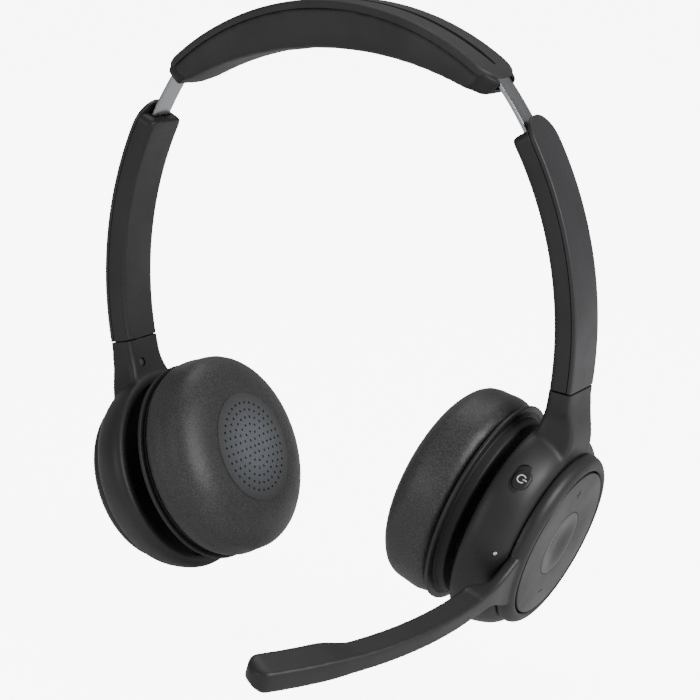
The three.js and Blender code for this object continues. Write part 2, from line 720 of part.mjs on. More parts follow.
function dial() {
  const plate = turned([
    [BUTTON_R + GAP, 0],
    [DIAL_R - 0.5, 0],
    [DIAL_R, 0.5],
    [DIAL_R, DIAL_T],
    [BUTTON_R + GAP, DIAL_T],
  ]);
  const skirt = washer(BUTTON_R + GAP, BUTTON_R + 1.6, DIAL_T - 0.3, DIAL_T + 1.2);
  const pivotL = deckTop - GAP - 1;
  const pivots = [-1, 1].map((side) =>
    box(1.6, 3, pivotL).translate(0, side * (DIAL_R + BUTTON_R) / 2, -(1 + pivotL / 2)));
  return join(plate, skirt, ...pivots);
}

function callButton() {
  return turned([
    [0, BUTTON_DISH],
    [BUTTON_R * 0.55, BUTTON_DISH * 0.62],
    [BUTTON_R - 0.6, 0.25],
    [BUTTON_R, 0.5],
    [BUTTON_R, DIAL_T],
    [3, DIAL_T],
    [3, DIAL_T + 0.7],
    [0, DIAL_T + 0.7],
  ]);
}

// the deck stands inside the ring's tube, and its flange under the tube keeps the ring in
function controlDeck() {
  const wallR = ringBore - 0.9;
  const flange = ringTubeEnd + 2 * GAP;
  const body = turned([
    [0, deckTop],
    [wallR, deckTop],
    [wallR, flange],
    [RING_R - 0.6, flange],
    [RING_R - 0.6, flange + 0.8],
    [wallR - DECK_T, flange + 0.8],
    [wallR - DECK_T, deckTop + DECK_T],
    [0, deckTop + DECK_T],
  ]);
  return cut(body, ...atCoverScrews(() => rod(POST_R + GAP, 20)));
}

function dome(offset) {
  const foot = deckTop - GAP;
  return washer(0, DOME_R, foot - DOME_T + 0.1, foot, 18).translate(offset, 0, 0);
}

function mainBoard() {
  const board = washer(0, BOARD_R, BOARD_DEPTH, BOARD_DEPTH + BOARD_T);
  const notch = box(USB_L + 6, USB_W + 2, 6).translate(BOARD_R, 0, -BOARD_DEPTH);
  const radio = box(10, 12, 2).translate(-4, 0, -(BOARD_DEPTH + BOARD_T + 0.6));
  return cut(join(board, radio), notch);
}

const powerSwitch = () => switchPlace(switchTool(SWITCH_L, SWITCH_W, 3).translate(0, 0, 0.9));

const statusLamp = () => lampPlace(rod(LAMP_R, 2.2).translate(0, 0, RING_R + 0.5));

function usbPort() {
  const shell = usbPlace(usbBody(0));
  const mouth = usbPlace(usbBody(-1).translate(1.2, 0, 0));
  return cut(shell, mouth);
}

// ---------------------------------------------------------------- the plain side's cap and battery

function plainCap() {
  return turned([
    [0, 0],
    [RING_R - 6, 0],
    [RING_R - 1.6, 0.6],
    [RING_R - 0.3, 2],
    [RING_R, RING_DEPTH],
    [tubeR, RING_DEPTH],
    [tubeR, floorTop + FLOOR_T],
    [ringBore, floorTop + FLOOR_T],
    [ringBore, RING_DEPTH - 1.6],
    [0, RING_DEPTH - 2.2],
  ]);
}

function battery() {
  return box(BATTERY_L, BATTERY_W, BATTERY_T).translate(0, 0, -(cavityFloor + 0.8 + BATTERY_T / 2));
}

// ---------------------------------------------------------------- boom

const boomOuterDepth = 1;
const boomInnerDepth = boomOuterDepth + BOOM_T;

// depth added by the bend at a distance from the cup's axis: a parabola that starts level
const bend = (reach) => BOOM_BEND * (Math.max(0, reach - BOOM_ROOT) / (BOOM_REACH - BOOM_ROOT)) ** 2;

const bendSlope = (reach) => 2 * BOOM_BEND * (reach - BOOM_ROOT) / (BOOM_REACH - BOOM_ROOT) ** 2;

// an outline between two depths that follows the bend, from one reach to another
function boomShape(from, to, outer, inner, roundTip = 0) {
  const steps = 14;
  const reaches = Array.from({ length: steps + 1 }, (_, i) => THREE.MathUtils.lerp(from, to, i / steps));
  const front = reaches.map((reach) => new THREE.Vector2(reach, -(outer(reach) + bend(reach))));
  const back = reaches.map((reach) => new THREE.Vector2(reach, -(inner(reach) + bend(reach))));
  if (roundTip > 0) {
    const last = (front.at(-1).y + back.at(-1).y) / 2;
    const half = (front.at(-1).y - back.at(-1).y) / 2;
    for (const angle of [60, 30, 0, -30, -60].map(deg)) {
      front.push(new THREE.Vector2(to + roundTip * Math.cos(angle), last + half * Math.sin(angle)));
    }
  }
  return new THREE.Shape([...front, ...back.reverse()]);
}

// the boom's outline runs forward along local X here, then is turned to point ahead of the wearer
function boomPlace(geometry) {
  return geometry.translate(0, BOOM_OFFSET, 0).rotateZ(-Math.PI / 2 + deg(BOOM_DROP));
}

const swell = (reach) => {
  const start = BOOM_REACH - MIC_L;
  const ramp = THREE.MathUtils.smoothstep(reach, start - 3, start + 5);
  return MIC_SWELL * ramp;
};

const coverLine = boomInnerDepth - BOOM_COVER_T;
const coverFrom = BOOM_ROOT - 1;
const coverTo = BOOM_REACH - 3;
const channelHalf = 1.3;

function boomBar(from, to, outer, inner, width, tip = 0) {
  return boomPlace(slab(boomShape(from, to, outer, inner, tip), width));
}

function boomArm() {
  const lip = turned([
    [ringBore, 0.5],
    [ringBore + 0.6, 0],
    [RING_R - 1.5, 0.5],
    [RING_R - 0.3, 1.6],
    [RING_R, RING_DEPTH],
    [tubeR, RING_DEPTH],
    [tubeR, ringTubeEnd],
    [ringBore, ringTubeEnd],
  ]);
  const outer = () => boomOuterDepth;
  const kneeFrom = BOOM_ROOT - KNEE_L;
  const kneeInner = (reach) =>
    THREE.MathUtils.lerp(RING_DEPTH, boomInnerDepth, (reach - kneeFrom) / KNEE_L);
  const barInner = (reach) => coverLine - GAP + swell(reach);
  const open = (reach) => coverLine + CUT + swell(reach);
  const root = boomBar(RING_R - 1, kneeFrom + 1, outer, () => RING_DEPTH, BOOM_W + 1.6);
  const knee = boomBar(kneeFrom, BOOM_ROOT, outer, kneeInner, BOOM_W + 0.8);
  const bar = boomBar(BOOM_ROOT - 1, BOOM_REACH, outer, barInner, BOOM_W, BOOM_TIP_L);
  const wireTo = BOOM_REACH - MIC_L + 1;
  const wireWay = boomBar(BOOM_ROOT + 1, wireTo, () => coverLine - 2.6, open, 2 * channelHalf);
  const micTo = BOOM_REACH - 4;
  const micRoom = boomBar(BOOM_REACH - MIC_L, micTo, () => coverLine - MIC_ROOM, open, BOOM_W - 1.4);
  return cut(join(lip, root, knee, bar), wireWay, micRoom);
}

function boomCover() {
  const outer = (reach) => coverLine + swell(reach);
  const inner = (reach) => boomInnerDepth + swell(reach);
  return boomBar(coverFrom + 1.4, coverTo, outer, inner, BOOM_W, 1.5);
}

function boomWire() {
  const height = 1;
  const inner = (reach) => coverLine - 0.8 + swell(reach) / 2;
  const outer = (reach) => inner(reach) - height;
  const width = 2 * (channelHalf - GAP);
  return boomBar(BOOM_ROOT + 1.5, BOOM_REACH - MIC_L - 0.5, outer, inner, width);
}

function micCapsule(reach) {
  const depth = coverLine - MIC_ROOM + GAP + MIC_T / 2 + 0.2 + bend(reach);
  return boomPlace(rod(MIC_R, MIC_T, 18).rotateY(Math.atan(bendSlope(reach))).translate(reach, 0, -depth));
}

// ---------------------------------------------------------------- assembly

const tag = (name, side) => `${name}_${side > 0 ? 'right' : 'left'}`;

function headband() {
  const arcs = group(
    mesh('headband_shell', headbandShell(), 'shell'),
    mesh('slot_liner', slotLiner(), 'inner'),
    mesh('headband_tray', headbandTray(), 'shell'),
    mesh('head_pad', headPad(), 'leather'),
    mesh('band_spring', bandSpring(), 'steel'),
  );
  arcs.position.z = BAND_CENTRE_Z;
  return arcs;
}

function stripSide(side) {
  const cap = mesh(tag('end_cap', side), endCap(), 'inner');
  cap.position.z = BAND_CENTRE_Z;
  const guide = mesh(tag('strip_guide', side), stripGuide(), 'nylon');
  guide.position.set(armCentreX, 0, ARM_CENTRE_Z);
  return group(
    cap,
    guide,
    mesh(tag('steel_strip', side), steelStrip(), 'steel'),
    mesh(tag('rivet_upper', side), rivet(0), 'brass'),
    mesh(tag('rivet_lower', side), rivet(1), 'brass'),
  );
}

function arm(side) {
  const pieces = group(
    mesh(tag('arm_shell', side), armShell(), 'shell'),
    mesh(tag('arm_cover', side), armCover(), 'cover'),
    mesh(tag('swivel_pin', side), swivelPin(), 'steel'),
  );
  pieces.position.set(armCentreX, 0, ARM_CENTRE_Z);
  return pieces;
}

function cup(side) {
  const pieces = group(
    mesh(tag('housing', side), housing(side > 0), 'shell'),
    mesh(tag('neck_screw', side), neckScrewPlace(rod(SCREW_R, 0.9).translate(0, 0, 0.6)), 'steel'),
    mesh(tag('cup_cover', side), cupCover(), 'inner'),
    ...atCoverScrews(coverScrew).map((screw, i) => mesh(tag(`cover_screw_${i + 1}`, side), screw, 'steel')),
    mesh(tag('gimbal_ring', side), gimbalRing(), 'steel'),
    mesh(tag('pad_plate', side), padPlate(), 'inner'),
    mesh(tag('driver_magnet', side), driverMagnet(), 'steel'),
    mesh(tag('driver_basket', side), driverBasket(), 'inner'),
    mesh(tag('ear_cushion', side), earCushion(), 'leather'),
    mesh(tag('ear_panel', side), earPanel(), 'panel'),
  );
  if (side > 0) pieces.add(...controls(), ...boom());
  else pieces.add(mesh('plain_cap', plainCap(), 'dial'), mesh('battery', battery(), 'foil'));
  cupFrame.decompose(pieces.position, pieces.quaternion, pieces.scale);
  return pieces;
}

function controls() {
  return [
    mesh('volume_dial', dial(), 'dial'),
    mesh('call_button', callButton(), 'button'),
    mesh('control_deck', controlDeck(), 'inner'),
    mesh('call_dome', dome(0), 'foil'),
    mesh('volume_up_dome', dome(-(DIAL_R + BUTTON_R) / 2 - 1), 'foil'),
    mesh('volume_down_dome', dome((DIAL_R + BUTTON_R) / 2 + 1), 'foil'),
    mesh('main_board', mainBoard(), 'board'),
    mesh('power_switch', powerSwitch(), 'button'),
    mesh('status_lamp', statusLamp(), 'light'),
    mesh('usb_port', usbPort(), 'steel'),
  ];
}

function boom() {
  return [
    mesh('boom_arm', boomArm(), 'shell'),
    mesh('boom_cover', boomCover(), 'cover'),
    mesh('boom_wire', boomWire(), 'inner'),
    mesh('mic_front', micCapsule(BOOM_REACH - 7), 'foil'),
    mesh('mic_rear', micCapsule(BOOM_REACH - 16), 'foil'),
  ];
}

function sideAssembly(side) {
  const pieces = group(stripSide(side), arm(side), cup(side));
  if (side < 0) pieces.rotation.z = Math.PI;
  return pieces;
}

export default group(headband(), sideAssembly(1), sideAssembly(-1));
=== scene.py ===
"""Looks of a wireless on-ear office headset with a boom microphone.

Shapes are drawn in millimetres in three drawing frames: the headband about its arc's centre, each arm
about its own arc's centre, and each cup about its axis, where X is down, Y is back, Z is outwards and a
depth runs inwards from the face of the control dial. piece() turns them into metres in the row frame.
"""

import json
import math

import bmesh
import bpy
from mathutils import Matrix, Vector


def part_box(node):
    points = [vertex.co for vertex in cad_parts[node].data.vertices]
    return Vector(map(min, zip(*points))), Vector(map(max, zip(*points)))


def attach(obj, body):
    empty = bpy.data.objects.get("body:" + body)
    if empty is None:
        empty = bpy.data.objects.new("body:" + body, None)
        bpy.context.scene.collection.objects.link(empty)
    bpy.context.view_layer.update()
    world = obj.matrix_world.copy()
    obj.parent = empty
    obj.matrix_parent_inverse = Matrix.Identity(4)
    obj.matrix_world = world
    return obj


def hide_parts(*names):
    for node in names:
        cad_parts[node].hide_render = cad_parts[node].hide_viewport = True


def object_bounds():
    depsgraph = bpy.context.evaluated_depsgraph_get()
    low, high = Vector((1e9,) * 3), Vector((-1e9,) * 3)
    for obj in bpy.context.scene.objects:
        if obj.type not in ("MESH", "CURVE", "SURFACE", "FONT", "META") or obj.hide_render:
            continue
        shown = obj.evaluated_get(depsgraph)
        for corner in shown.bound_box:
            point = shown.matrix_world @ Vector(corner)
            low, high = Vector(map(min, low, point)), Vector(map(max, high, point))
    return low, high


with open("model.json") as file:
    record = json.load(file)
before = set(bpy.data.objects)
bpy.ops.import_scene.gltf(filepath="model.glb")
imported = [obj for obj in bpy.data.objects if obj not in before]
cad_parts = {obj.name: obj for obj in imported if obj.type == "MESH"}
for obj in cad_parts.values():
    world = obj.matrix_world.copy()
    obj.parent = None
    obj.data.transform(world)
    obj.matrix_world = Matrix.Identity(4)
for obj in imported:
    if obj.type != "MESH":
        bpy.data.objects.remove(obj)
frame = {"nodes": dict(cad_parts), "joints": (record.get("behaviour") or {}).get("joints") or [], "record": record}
cad_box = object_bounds()

# ------------------------------------------------------------------ sizes, in millimetres

MM = 0.001
SIDES = ("right", "left")

# headband
BAND_R = 82.2            # top surface
BAND_END = 42.5          # degrees from the top of the head to the end of an end cap
BAND_W = 19.7
END_CAP_L = 4
SHELL_T = 2.4
TRAY_DEPTH = 5.7         # top surface to the tray's floor
PAD_R = 106              # underside of the head pad
BAND_T = 13.7            # whole thickness at the top of the head
SLOT_W = 2.2
SLOT_DEPTH = 1.7
SLOT_END_L = 4.5         # sleeve left beyond each end of the slot
BAND_CORNER = 6.5        # corner radius of the sleeve's ends, seen from above

# size strips and arms
STRIP_T = 1.2
STRIP_W = 8
STRIP_DEPTH = 2.2        # below the top surface where it leaves the headband
STRIP_HIDDEN_L = 28      # inside the arm
STRIP_TAIL_L = 6         # inside the headband
ARM_TOP = 30.4           # degrees
ARM_SEAM = -8.9
ARM_R = 109.8
ARM_T = 6.9
ARM_W = 15.9
COVER_T = 1.3
ARM_STEP = 2.6           # how far the arm's shell stops short of its cover
SEAM = 0.3

# cups
RING_R = 26.5
RING_DEPTH = 4.1
DIAL_R = 22.3
DIAL_T = 1.8
BUTTON_R = 9.8
BUTTON_DISH = 1.25
HOUSING_R = 31.7
HOUSING_DEPTH = 17.4     # dial face to the housing's rim
WALL = 2.1
NECK_L = 23
NECK_STRAIGHT = 5        # length below the seam before it starts to widen
NECK_SPARE = 4           # drawn above the seam, then cut off
NECK_SWELL = 3.3         # how far its outer face leaves the arm's arc to meet the boom's ring
NECK_FLARE = 10.5        # how much each side of the neck has widened where it runs into the cup
NECK_SCREW_DROP = 7.6    # below the seam
NECK_SCREW_BACK = 3
NECK_SCREW_R = 1.4
PLATE_R = 30.7
PLATE_DEPTH = 21
PLATE_T = 4.1
PLATE_FACE = PLATE_DEPTH + PLATE_T
PLATE_RIM_T = 0.8        # thin rim behind the cushion
PLATE_RIM_W = 3.2        # how far the rim stands out around the body of the plate
CUSHION_R = 30.9
CUP_DEPTH = 43.2         # dial face to the face of the design's ear cushion
CROWN = 1.3              # how far the swollen cushion stands above that
PANEL_R = 16.9
HOLE_R = 0.44            # holes of the perforated centre
HOLE_PITCH = 2.3
HOLE_RINGS = 7
COVER_DEPTH = 13.7
LUG_REACH = 11.65        # cup axis to each lug of the lid, which carries the gimbal ring
SWITCH_ANGLE = 45        # degrees forward of the neck
SWITCH_DEPTH = 10.3
SWITCH_R = 30.75         # cup axis to the face of the slider
SWITCH_L = 6.6
SWITCH_W = 5
LAMP_ANGLE = 86
LAMP_DEPTH = RING_DEPTH + 3
USB_DEPTH = 11.3
USB_W = 9.6
USB_T = 3.9

# boom
BOOM_REACH = 118
BOOM_DROP = 5.7          # degrees below straight ahead
BOOM_ROOT = 43
BOOM_BEND = 20
BOOM_OFFSET = 3
BOOM_W = 5.6
BOOM_T = 6.6
BOOM_FACE = 0.9          # depth of the bar's outer face
BOOM_TIP_L = 3.2         # length of the rounded tip
MIC_L = 24
MIC_SWELL = 2
MIC_WIDENING = 0.35      # on each side of the bar
MIC_SLOT_L = 3.6
MIC_SLOT_W = 1.0
MIC_SLOTS = (8, 16)      # tip to the middle of each slot

# ------------------------------------------------------------------ drawing frames

joint = {j["name"]: j for j in frame["joints"]}
arm_centre = Vector(joint["size_right"]["pos_m"]) / MM
cup_at = Vector(joint["boom_turn"]["pos_m"]) / MM
cup_out = Vector(joint["boom_turn"]["axis"])
cup_back = Vector((0, 1, 0))
cup_down = cup_back.cross(cup_out)
cup_frame = Matrix((
    (cup_down.x, cup_back.x, cup_out.x, cup_at.x),
    (cup_down.y, cup_back.y, cup_out.y, cup_at.y),
    (cup_down.z, cup_back.z, cup_out.z, cup_at.z),
    (0, 0, 0, 1),
))
band_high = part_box("headband_shell")[1] / MM
band_frame = Matrix.Translation((0, 0, band_high.z - BAND_R))
arm_frame = Matrix.Translation(arm_centre)
arm_to_cup = cup_frame.inverted() @ arm_frame


def side_turn(side):
    """The left side is the right side's drawing turned half a turn about Z."""
    return Matrix.Rotation(0 if side == "right" else math.pi, 4, "Z")


# ------------------------------------------------------------------ mesh helpers

def rounded(corners, radius, steps=4, closed=True):
    """A polygon with each corner replaced by a curve; a corner may give its own radius as a third number."""
    points = []
    count = len(corners)
    for i, corner in enumerate(corners):
        here = Vector(corner[:2])
        if not closed and i in (0, count - 1):
            points.append(here)
            continue
        before = Vector(corners[i - 1][:2])
        after = Vector(corners[(i + 1) % count][:2])
        reach = corner[2] if len(corner) > 2 else radius
        start = here + (before - here).normalized() * min(reach, (before - here).length * 0.49)
        end = here + (after - here).normalized() * min(reach, (after - here).length * 0.49)
        for step in range(steps + 1):
            t = step / steps
            points.append(start * (1 - t) ** 2 + here * 2 * t * (1 - t) + end * t ** 2)
    return points


def loft(rings, caps=True):
    """A tube through rings of equally many points, with a face over each end."""
    bm = bmesh.new()
    rows = [[bm.verts.new(point) for point in ring] for ring in rings]
    count = len(rows[0])
    for row, following in zip(rows, rows[1:]):
        for i in range(count):
            k = (i + 1) % count
            bm.faces.new((row[i], row[k], following[k], following[i]))
    if caps:
        bm.faces.new(rows[0])
        bm.faces.new(rows[-1])
    bmesh.ops.remove_doubles(bm, verts=bm.verts, dist=1e-4)
    bmesh.ops.recalc_face_normals(bm, faces=bm.faces)
    return bm


def lathe(profile, segments=128):
    """A closed solid turned about Z: (radius, depth) pairs from axis to axis or round to the start."""
    rings = []
    for radius, depth in profile:
        ring = []
        for i in range(segments):
            angle = 2 * math.pi * i / segments
            ring.append((radius * math.cos(angle), radius * math.sin(angle), -depth))
        rings.append(ring)
    starts_on_axis = profile[0][0] < 1e-6
    if not starts_on_axis:
        rings.append(rings[0])
    return loft(rings, caps=False)


def washer(inner, outer, near, far, edge=0.25, segments=128):
    """A turned disc or ring between two depths with rounded edges."""
    corners = [(inner, near), (outer, near), (outer, far), (inner, far)]
    if inner > 0:
        return lathe(rounded(corners, edge), segments)
    return lathe(rounded(corners, edge, closed=False), segments)


def box(size, centre):
    bm = bmesh.new()
    bmesh.ops.create_cube(bm, size=1)
    bmesh.ops.scale(bm, vec=size, verts=bm.verts)
    bmesh.ops.translate(bm, vec=centre, verts=bm.verts)
    return bm


def rod(radius, length, centre=(0, 0, 0), segments=32):
    bm = bmesh.new()
    bmesh.ops.create_cone(bm, cap_ends=True, segments=segments, radius1=radius, radius2=radius, depth=length)
    bmesh.ops.translate(bm, vec=centre, verts=bm.verts)
    return bm


def moved(bm, matrix):
    bm.transform(matrix)
    return bm


def merged(*parts):
    """Several solids in one mesh, still apart from each other."""
    whole = bmesh.new()
    for part in parts:
        mesh = bpy.data.meshes.new("part")
        part.to_mesh(mesh)
        part.free()
        whole.from_mesh(mesh)
        bpy.data.meshes.remove(mesh)
    return whole


def as_object(bm, name="scratch"):
    mesh = bpy.data.meshes.new(name)
    bm.to_mesh(mesh)
    bm.free()
    obj = bpy.data.objects.new(name, mesh)
    bpy.context.scene.collection.objects.link(obj)
    return obj


def as_bmesh(obj):
    """The object's mesh with its modifiers applied; the object itself is deleted."""
    bpy.context.view_layer.update()
    evaluated = obj.evaluated_get(bpy.context.evaluated_depsgraph_get())
    bm = bmesh.new()
    bm.from_mesh(evaluated.to_mesh())
    evaluated.to_mesh_clear()
    mesh = obj.data
    bpy.data.objects.remove(obj)
    bpy.data.meshes.remove(mesh)
    return bm


def cut(bm, *tools):
    """Subtracts the tools, which may not touch each other."""
    body = as_object(bm)
    cutter = as_object(merged(*tools))
    modifier = body.modifiers.new("cut", "BOOLEAN")
    modifier.object = cutter
    modifier.operation = "DIFFERENCE"
    modifier.solver = "EXACT"
    result = as_bmesh(body)
    as_bmesh(cutter).free()
    return result


def blended(bm, voxel, smoothing, weight=lambda point: 1):
    """One skin around overlapping solids, smoothed where the weight is high so that they flow together."""
    body = as_object(bm)
    remesh = body.modifiers.new("skin", "REMESH")
    remesh.mode = "VOXEL"
    remesh.voxel_size = voxel
    skin = as_object(as_bmesh(body))
    soft = skin.vertex_groups.new(name="soft")
    for vertex in skin.data.vertices:
        soft.add([vertex.index], weight(vertex.co), "REPLACE")
    smooth = skin.modifiers.new("smooth", "SMOOTH")
    smooth.factor = 0.5
    smooth.iterations = smoothing
    smooth.vertex_group = "soft"
    return as_bmesh(skin)


def piece(name, bm, place, body, material, replaces=(), crease=32):
    """Turns a drawing into a finished piece that rides on a body and stands for CAD nodes."""
    bm.transform(Matrix.Scale(MM, 4) @ place)
    bmesh.ops.recalc_face_normals(bm, faces=bm.faces)
    obj = as_object(bm, name)
    obj.data.shade_smooth()
    obj.data.set_sharp_from_angle(angle=math.radians(crease))
    obj.data.materials.append(material)
    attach(obj, body)
    if replaces:
        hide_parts(*replaces)
    return obj


def arc_loft(section, angles):
    """A tube about the Y axis: section(angle) gives (radius, y) points for each angle up from the X axis."""
    rings = []
    for angle in angles:
        rings.append([
            (radius * math.cos(angle), y, radius * math.sin(angle)) for radius, y in section(angle)
        ])
    return loft(rings)


def spread(start, end, steps):
    return [start + (end - start) * i / steps for i in range(steps + 1)]


def eased_ends(start, end, radius_angle, steps, fine=6):
    """Angles from start to end that crowd together towards both ends, where corners are rounded."""
    near = [start + radius_angle * (1 - math.cos(math.pi / 2 * i / fine)) for i in range(fine)]
    far = [end - radius_angle * (1 - math.cos(math.pi / 2 * i / fine)) for i in range(fine)]
    middle = spread(start + radius_angle, end - radius_angle, steps)
    return near + middle + far[::-1]


def corner_inset(distance, radius):
    """How far an outline is drawn in at a distance from its end, where a corner of that radius rounds it."""
    if distance >= radius:
        return 0
    return radius - math.sqrt(max(0, radius ** 2 - (radius - distance) ** 2))


# ------------------------------------------------------------------ materials

def blank(name):
    material = bpy.data.materials.new(name)
    material.use_nodes = True
    nodes = material.node_tree.nodes
    links = material.node_tree.links
    shader = nodes["Principled BSDF"]
    coords = nodes.new("ShaderNodeTexCoord").outputs["Object"]
    return material, nodes, links, shader, coords


def noise_node(nodes, links, coords, scale, detail=3, roughness=0.55):
    node = nodes.new("ShaderNodeTexNoise")
    node.inputs["Scale"].default_value = scale
    node.inputs["Detail"].default_value = detail
    node.inputs["Roughness"].default_value = roughness
    links.new(coords, node.inputs["Vector"])
    return node.outputs["Fac"]


def ranged(nodes, links, value, low, high, from_low=0.35, from_high=0.65):
    node = nodes.new("ShaderNodeMapRange")
    node.inputs["From Min"].default_value = from_low
    node.inputs["From Max"].default_value = from_high
    node.inputs["To Min"].default_value = low
    node.inputs["To Max"].default_value = high
    links.new(value, node.inputs["Value"])
    return node.outputs["Result"]


def mixed_colour(nodes, links, factor, first, second):
    """Two colours mixed by a factor; each is a plain colour or what another node gives."""
    node = nodes.new("ShaderNodeMix")
    node.data_type = "RGBA"
    for socket, colour in (("A", first), ("B", second)):
        if isinstance(colour, tuple):
            node.inputs[socket].default_value = (*colour, 1)
        else:
            links.new(colour, node.inputs[socket])
    links.new(factor, node.inputs["Factor"])
    return node.outputs["Result"]


def bump(nodes, links, shader, height, strength, distance, after=None):
    node = nodes.new("ShaderNodeBump")
    node.inputs["Strength"].default_value = strength
    node.inputs["Distance"].default_value = distance
    links.new(height, node.inputs["Height"])
    if after:
        links.new(after, node.inputs["Normal"])
    links.new(node.outputs["Normal"], shader.inputs["Normal"])
    return node.outputs["Normal"]


def lighter(colour, share):
    return tuple(min(1, channel * share) for channel in colour)


def moulded_plastic(name, colour, roughness, grain=0.22, grain_scale=3600):
    """Spark-textured moulding: a fine grain, faint handling marks and a painted highlight that lightens convex
    edges.
    """
    material, nodes, links, shader, coords = blank(name)
    marks = noise_node(nodes, links, coords, 55, detail=5)
    patches = ranged(nodes, links, marks, 0, 1)
    tone = mixed_colour(nodes, links, patches, lighter(colour, 0.88), lighter(colour, 1.12))
    # painted highlight: convex edges, found by pointiness, are lightened in the colour as if they caught the light
    painted_edge_highlight = ranged(nodes, links, nodes.new("ShaderNodeNewGeometry").outputs["Pointiness"], 0, 0.35, 0.53, 0.62)
    edge_highlit_tone = mixed_colour(nodes, links, painted_edge_highlight, tone, lighter(colour, 1.9))
    links.new(edge_highlit_tone, shader.inputs["Base Color"])
    links.new(ranged(nodes, links, marks, roughness + 0.05, roughness - 0.05), shader.inputs["Roughness"])
    shader.inputs["Specular IOR Level"].default_value = 0.42
    fine = noise_node(nodes, links, coords, grain_scale, detail=2)
    bump(nodes, links, shader, fine, grain, 0.00004)
    return material


def leatherette(name, colour):
    """Soft coated cloth: pebbled grain with painted shade in the valleys between pebbles, fine creases and a
    slight sheen.
    """
    material, nodes, links, shader, coords = blank(name)
    cells = nodes.new("ShaderNodeTexVoronoi")
    cells.feature = "DISTANCE_TO_EDGE"
    cells.inputs["Scale"].default_value = 1150
    wander = nodes.new("ShaderNodeTexNoise")
    wander.inputs["Scale"].default_value = 700
    links.new(coords, wander.inputs["Vector"])
    warped = nodes.new("ShaderNodeMixRGB")
    warped.blend_type = "LINEAR_LIGHT"
    warped.inputs["Fac"].default_value = 0.0006
    links.new(coords, warped.inputs["Color1"])
    links.new(wander.outputs["Color"], warped.inputs["Color2"])
    links.new(warped.outputs["Color"], cells.inputs["Vector"])
    pebbles = ranged(nodes, links, cells.outputs["Distance"], 0, 1, 0, 0.22)
    broad = noise_node(nodes, links, coords, 38, detail=4)
    patches = ranged(nodes, links, broad, 0, 1)
    tone = mixed_colour(nodes, links, patches, lighter(colour, 0.85), lighter(colour, 1.18))
    # painted shade: the valleys between the pebbles, where the bump sinks, are darkened in the colour
    pebble_valley_shaded = mixed_colour(nodes, links, pebbles, lighter(colour, 0.55), tone)
    links.new(pebble_valley_shaded, shader.inputs["Base Color"])
    links.new(ranged(nodes, links, broad, 0.5, 0.4), shader.inputs["Roughness"])
    shader.inputs["Specular IOR Level"].default_value = 0.4
    shader.inputs["Sheen Weight"].default_value = 0.06
    shader.inputs["Sheen Roughness"].default_value = 0.4
    wrinkles = noise_node(nodes, links, coords, 320, detail=4)
    soft = bump(nodes, links, shader, wrinkles, 0.25, 0.00025)
    bump(nodes, links, shader, pebbles, 0.3, 0.00006, after=soft)
    return material


def from_axis(nodes, links, coords, at, along):
    """Distance of the shaded point from a line through a point."""
    offset = nodes.new("ShaderNodeVectorMath")
    offset.operation = "SUBTRACT"
    offset.inputs[1].default_value = at
    links.new(coords, offset.inputs[0])
    across = nodes.new("ShaderNodeVectorMath")
    across.operation = "CROSS_PRODUCT"
    across.inputs[1].default_value = along
    links.new(offset.outputs["Vector"], across.inputs[0])
    length = nodes.new("ShaderNodeVectorMath")
    length.operation = "LENGTH"
    links.new(across.outputs["Vector"], length.inputs[0])
    return length.outputs["Value"]


def perforated_cloth(name, colour, rim_colour, side):
    """The centre of the pad: coated cloth in a fine weave that fades from blue-grey to the pad's colour."""
    material, nodes, links, shader, coords = blank(name)
    turn = side_turn(side)
    away = from_axis(nodes, links, coords, (turn @ cup_at) * MM, (turn @ cup_out).normalized())
    fade = ranged(nodes, links, away, 0, 1, 0.006, 0.0162)
    waves = []
    for direction in ("Y", "Z"):
        wave = nodes.new("ShaderNodeTexWave")
        wave.bands_direction = direction
        wave.inputs["Scale"].default_value = 520
        wave.inputs["Distortion"].default_value = 1.2
        wave.inputs["Detail"].default_value = 1
        links.new(coords, wave.inputs["Vector"])
        waves.append(wave.outputs["Fac"])
    weave = nodes.new("ShaderNodeMath")
    weave.operation = "MAXIMUM"
    links.new(waves[0], weave.inputs[0])
    links.new(waves[1], weave.inputs[1])
    tone = mixed_colour(nodes, links, weave.outputs["Value"], lighter(colour, 0.85), lighter(colour, 1.1))
    faded = mixed_colour(nodes, links, fade, tone, rim_colour)
    links.new(faded, shader.inputs["Base Color"])
    patches = noise_node(nodes, links, coords, 90, detail=4)
    links.new(ranged(nodes, links, patches, 0.52, 0.62), shader.inputs["Roughness"])
    shader.inputs["Specular IOR Level"].default_value = 0.4
    shader.inputs["Sheen Weight"].default_value = 0.08
    shader.inputs["Sheen Roughness"].default_value = 0.45
    bump(nodes, links, shader, weave.outputs["Value"], 0.22, 0.00005)
    return material


def brushed_metal(name, colour, roughness, along="Z"):
    """Metal with fine lines that run along one axis of the row frame."""
    material, nodes, links, shader, coords = blank(name)
    stretch = nodes.new("ShaderNodeMapping")
    lines = {"X": (90, 4500, 4500), "Y": (4500, 90, 4500), "Z": (4500, 4500, 90)}[along]
    stretch.inputs["Scale"].default_value = lines
    links.new(coords, stretch.inputs["Vector"])
    scratches = noise_node(nodes, links, stretch.outputs["Vector"], 1, detail=3)
    clouds = noise_node(nodes, links, coords, 70, detail=3)
    tone = mixed_colour(nodes, links, ranged(nodes, links, clouds, 0, 1), lighter(colour, 0.9), colour)
    links.new(tone, shader.inputs["Base Color"])
    links.new(ranged(nodes, links, scratches, roughness - 0.06, roughness + 0.1), shader.inputs["Roughness"])
    shader.inputs["Metallic"].default_value = 1
    shader.inputs["Anisotropic"].default_value = 0.4
    bump(nodes, links, shader, scratches, 0.12, 0.00002)
    return material


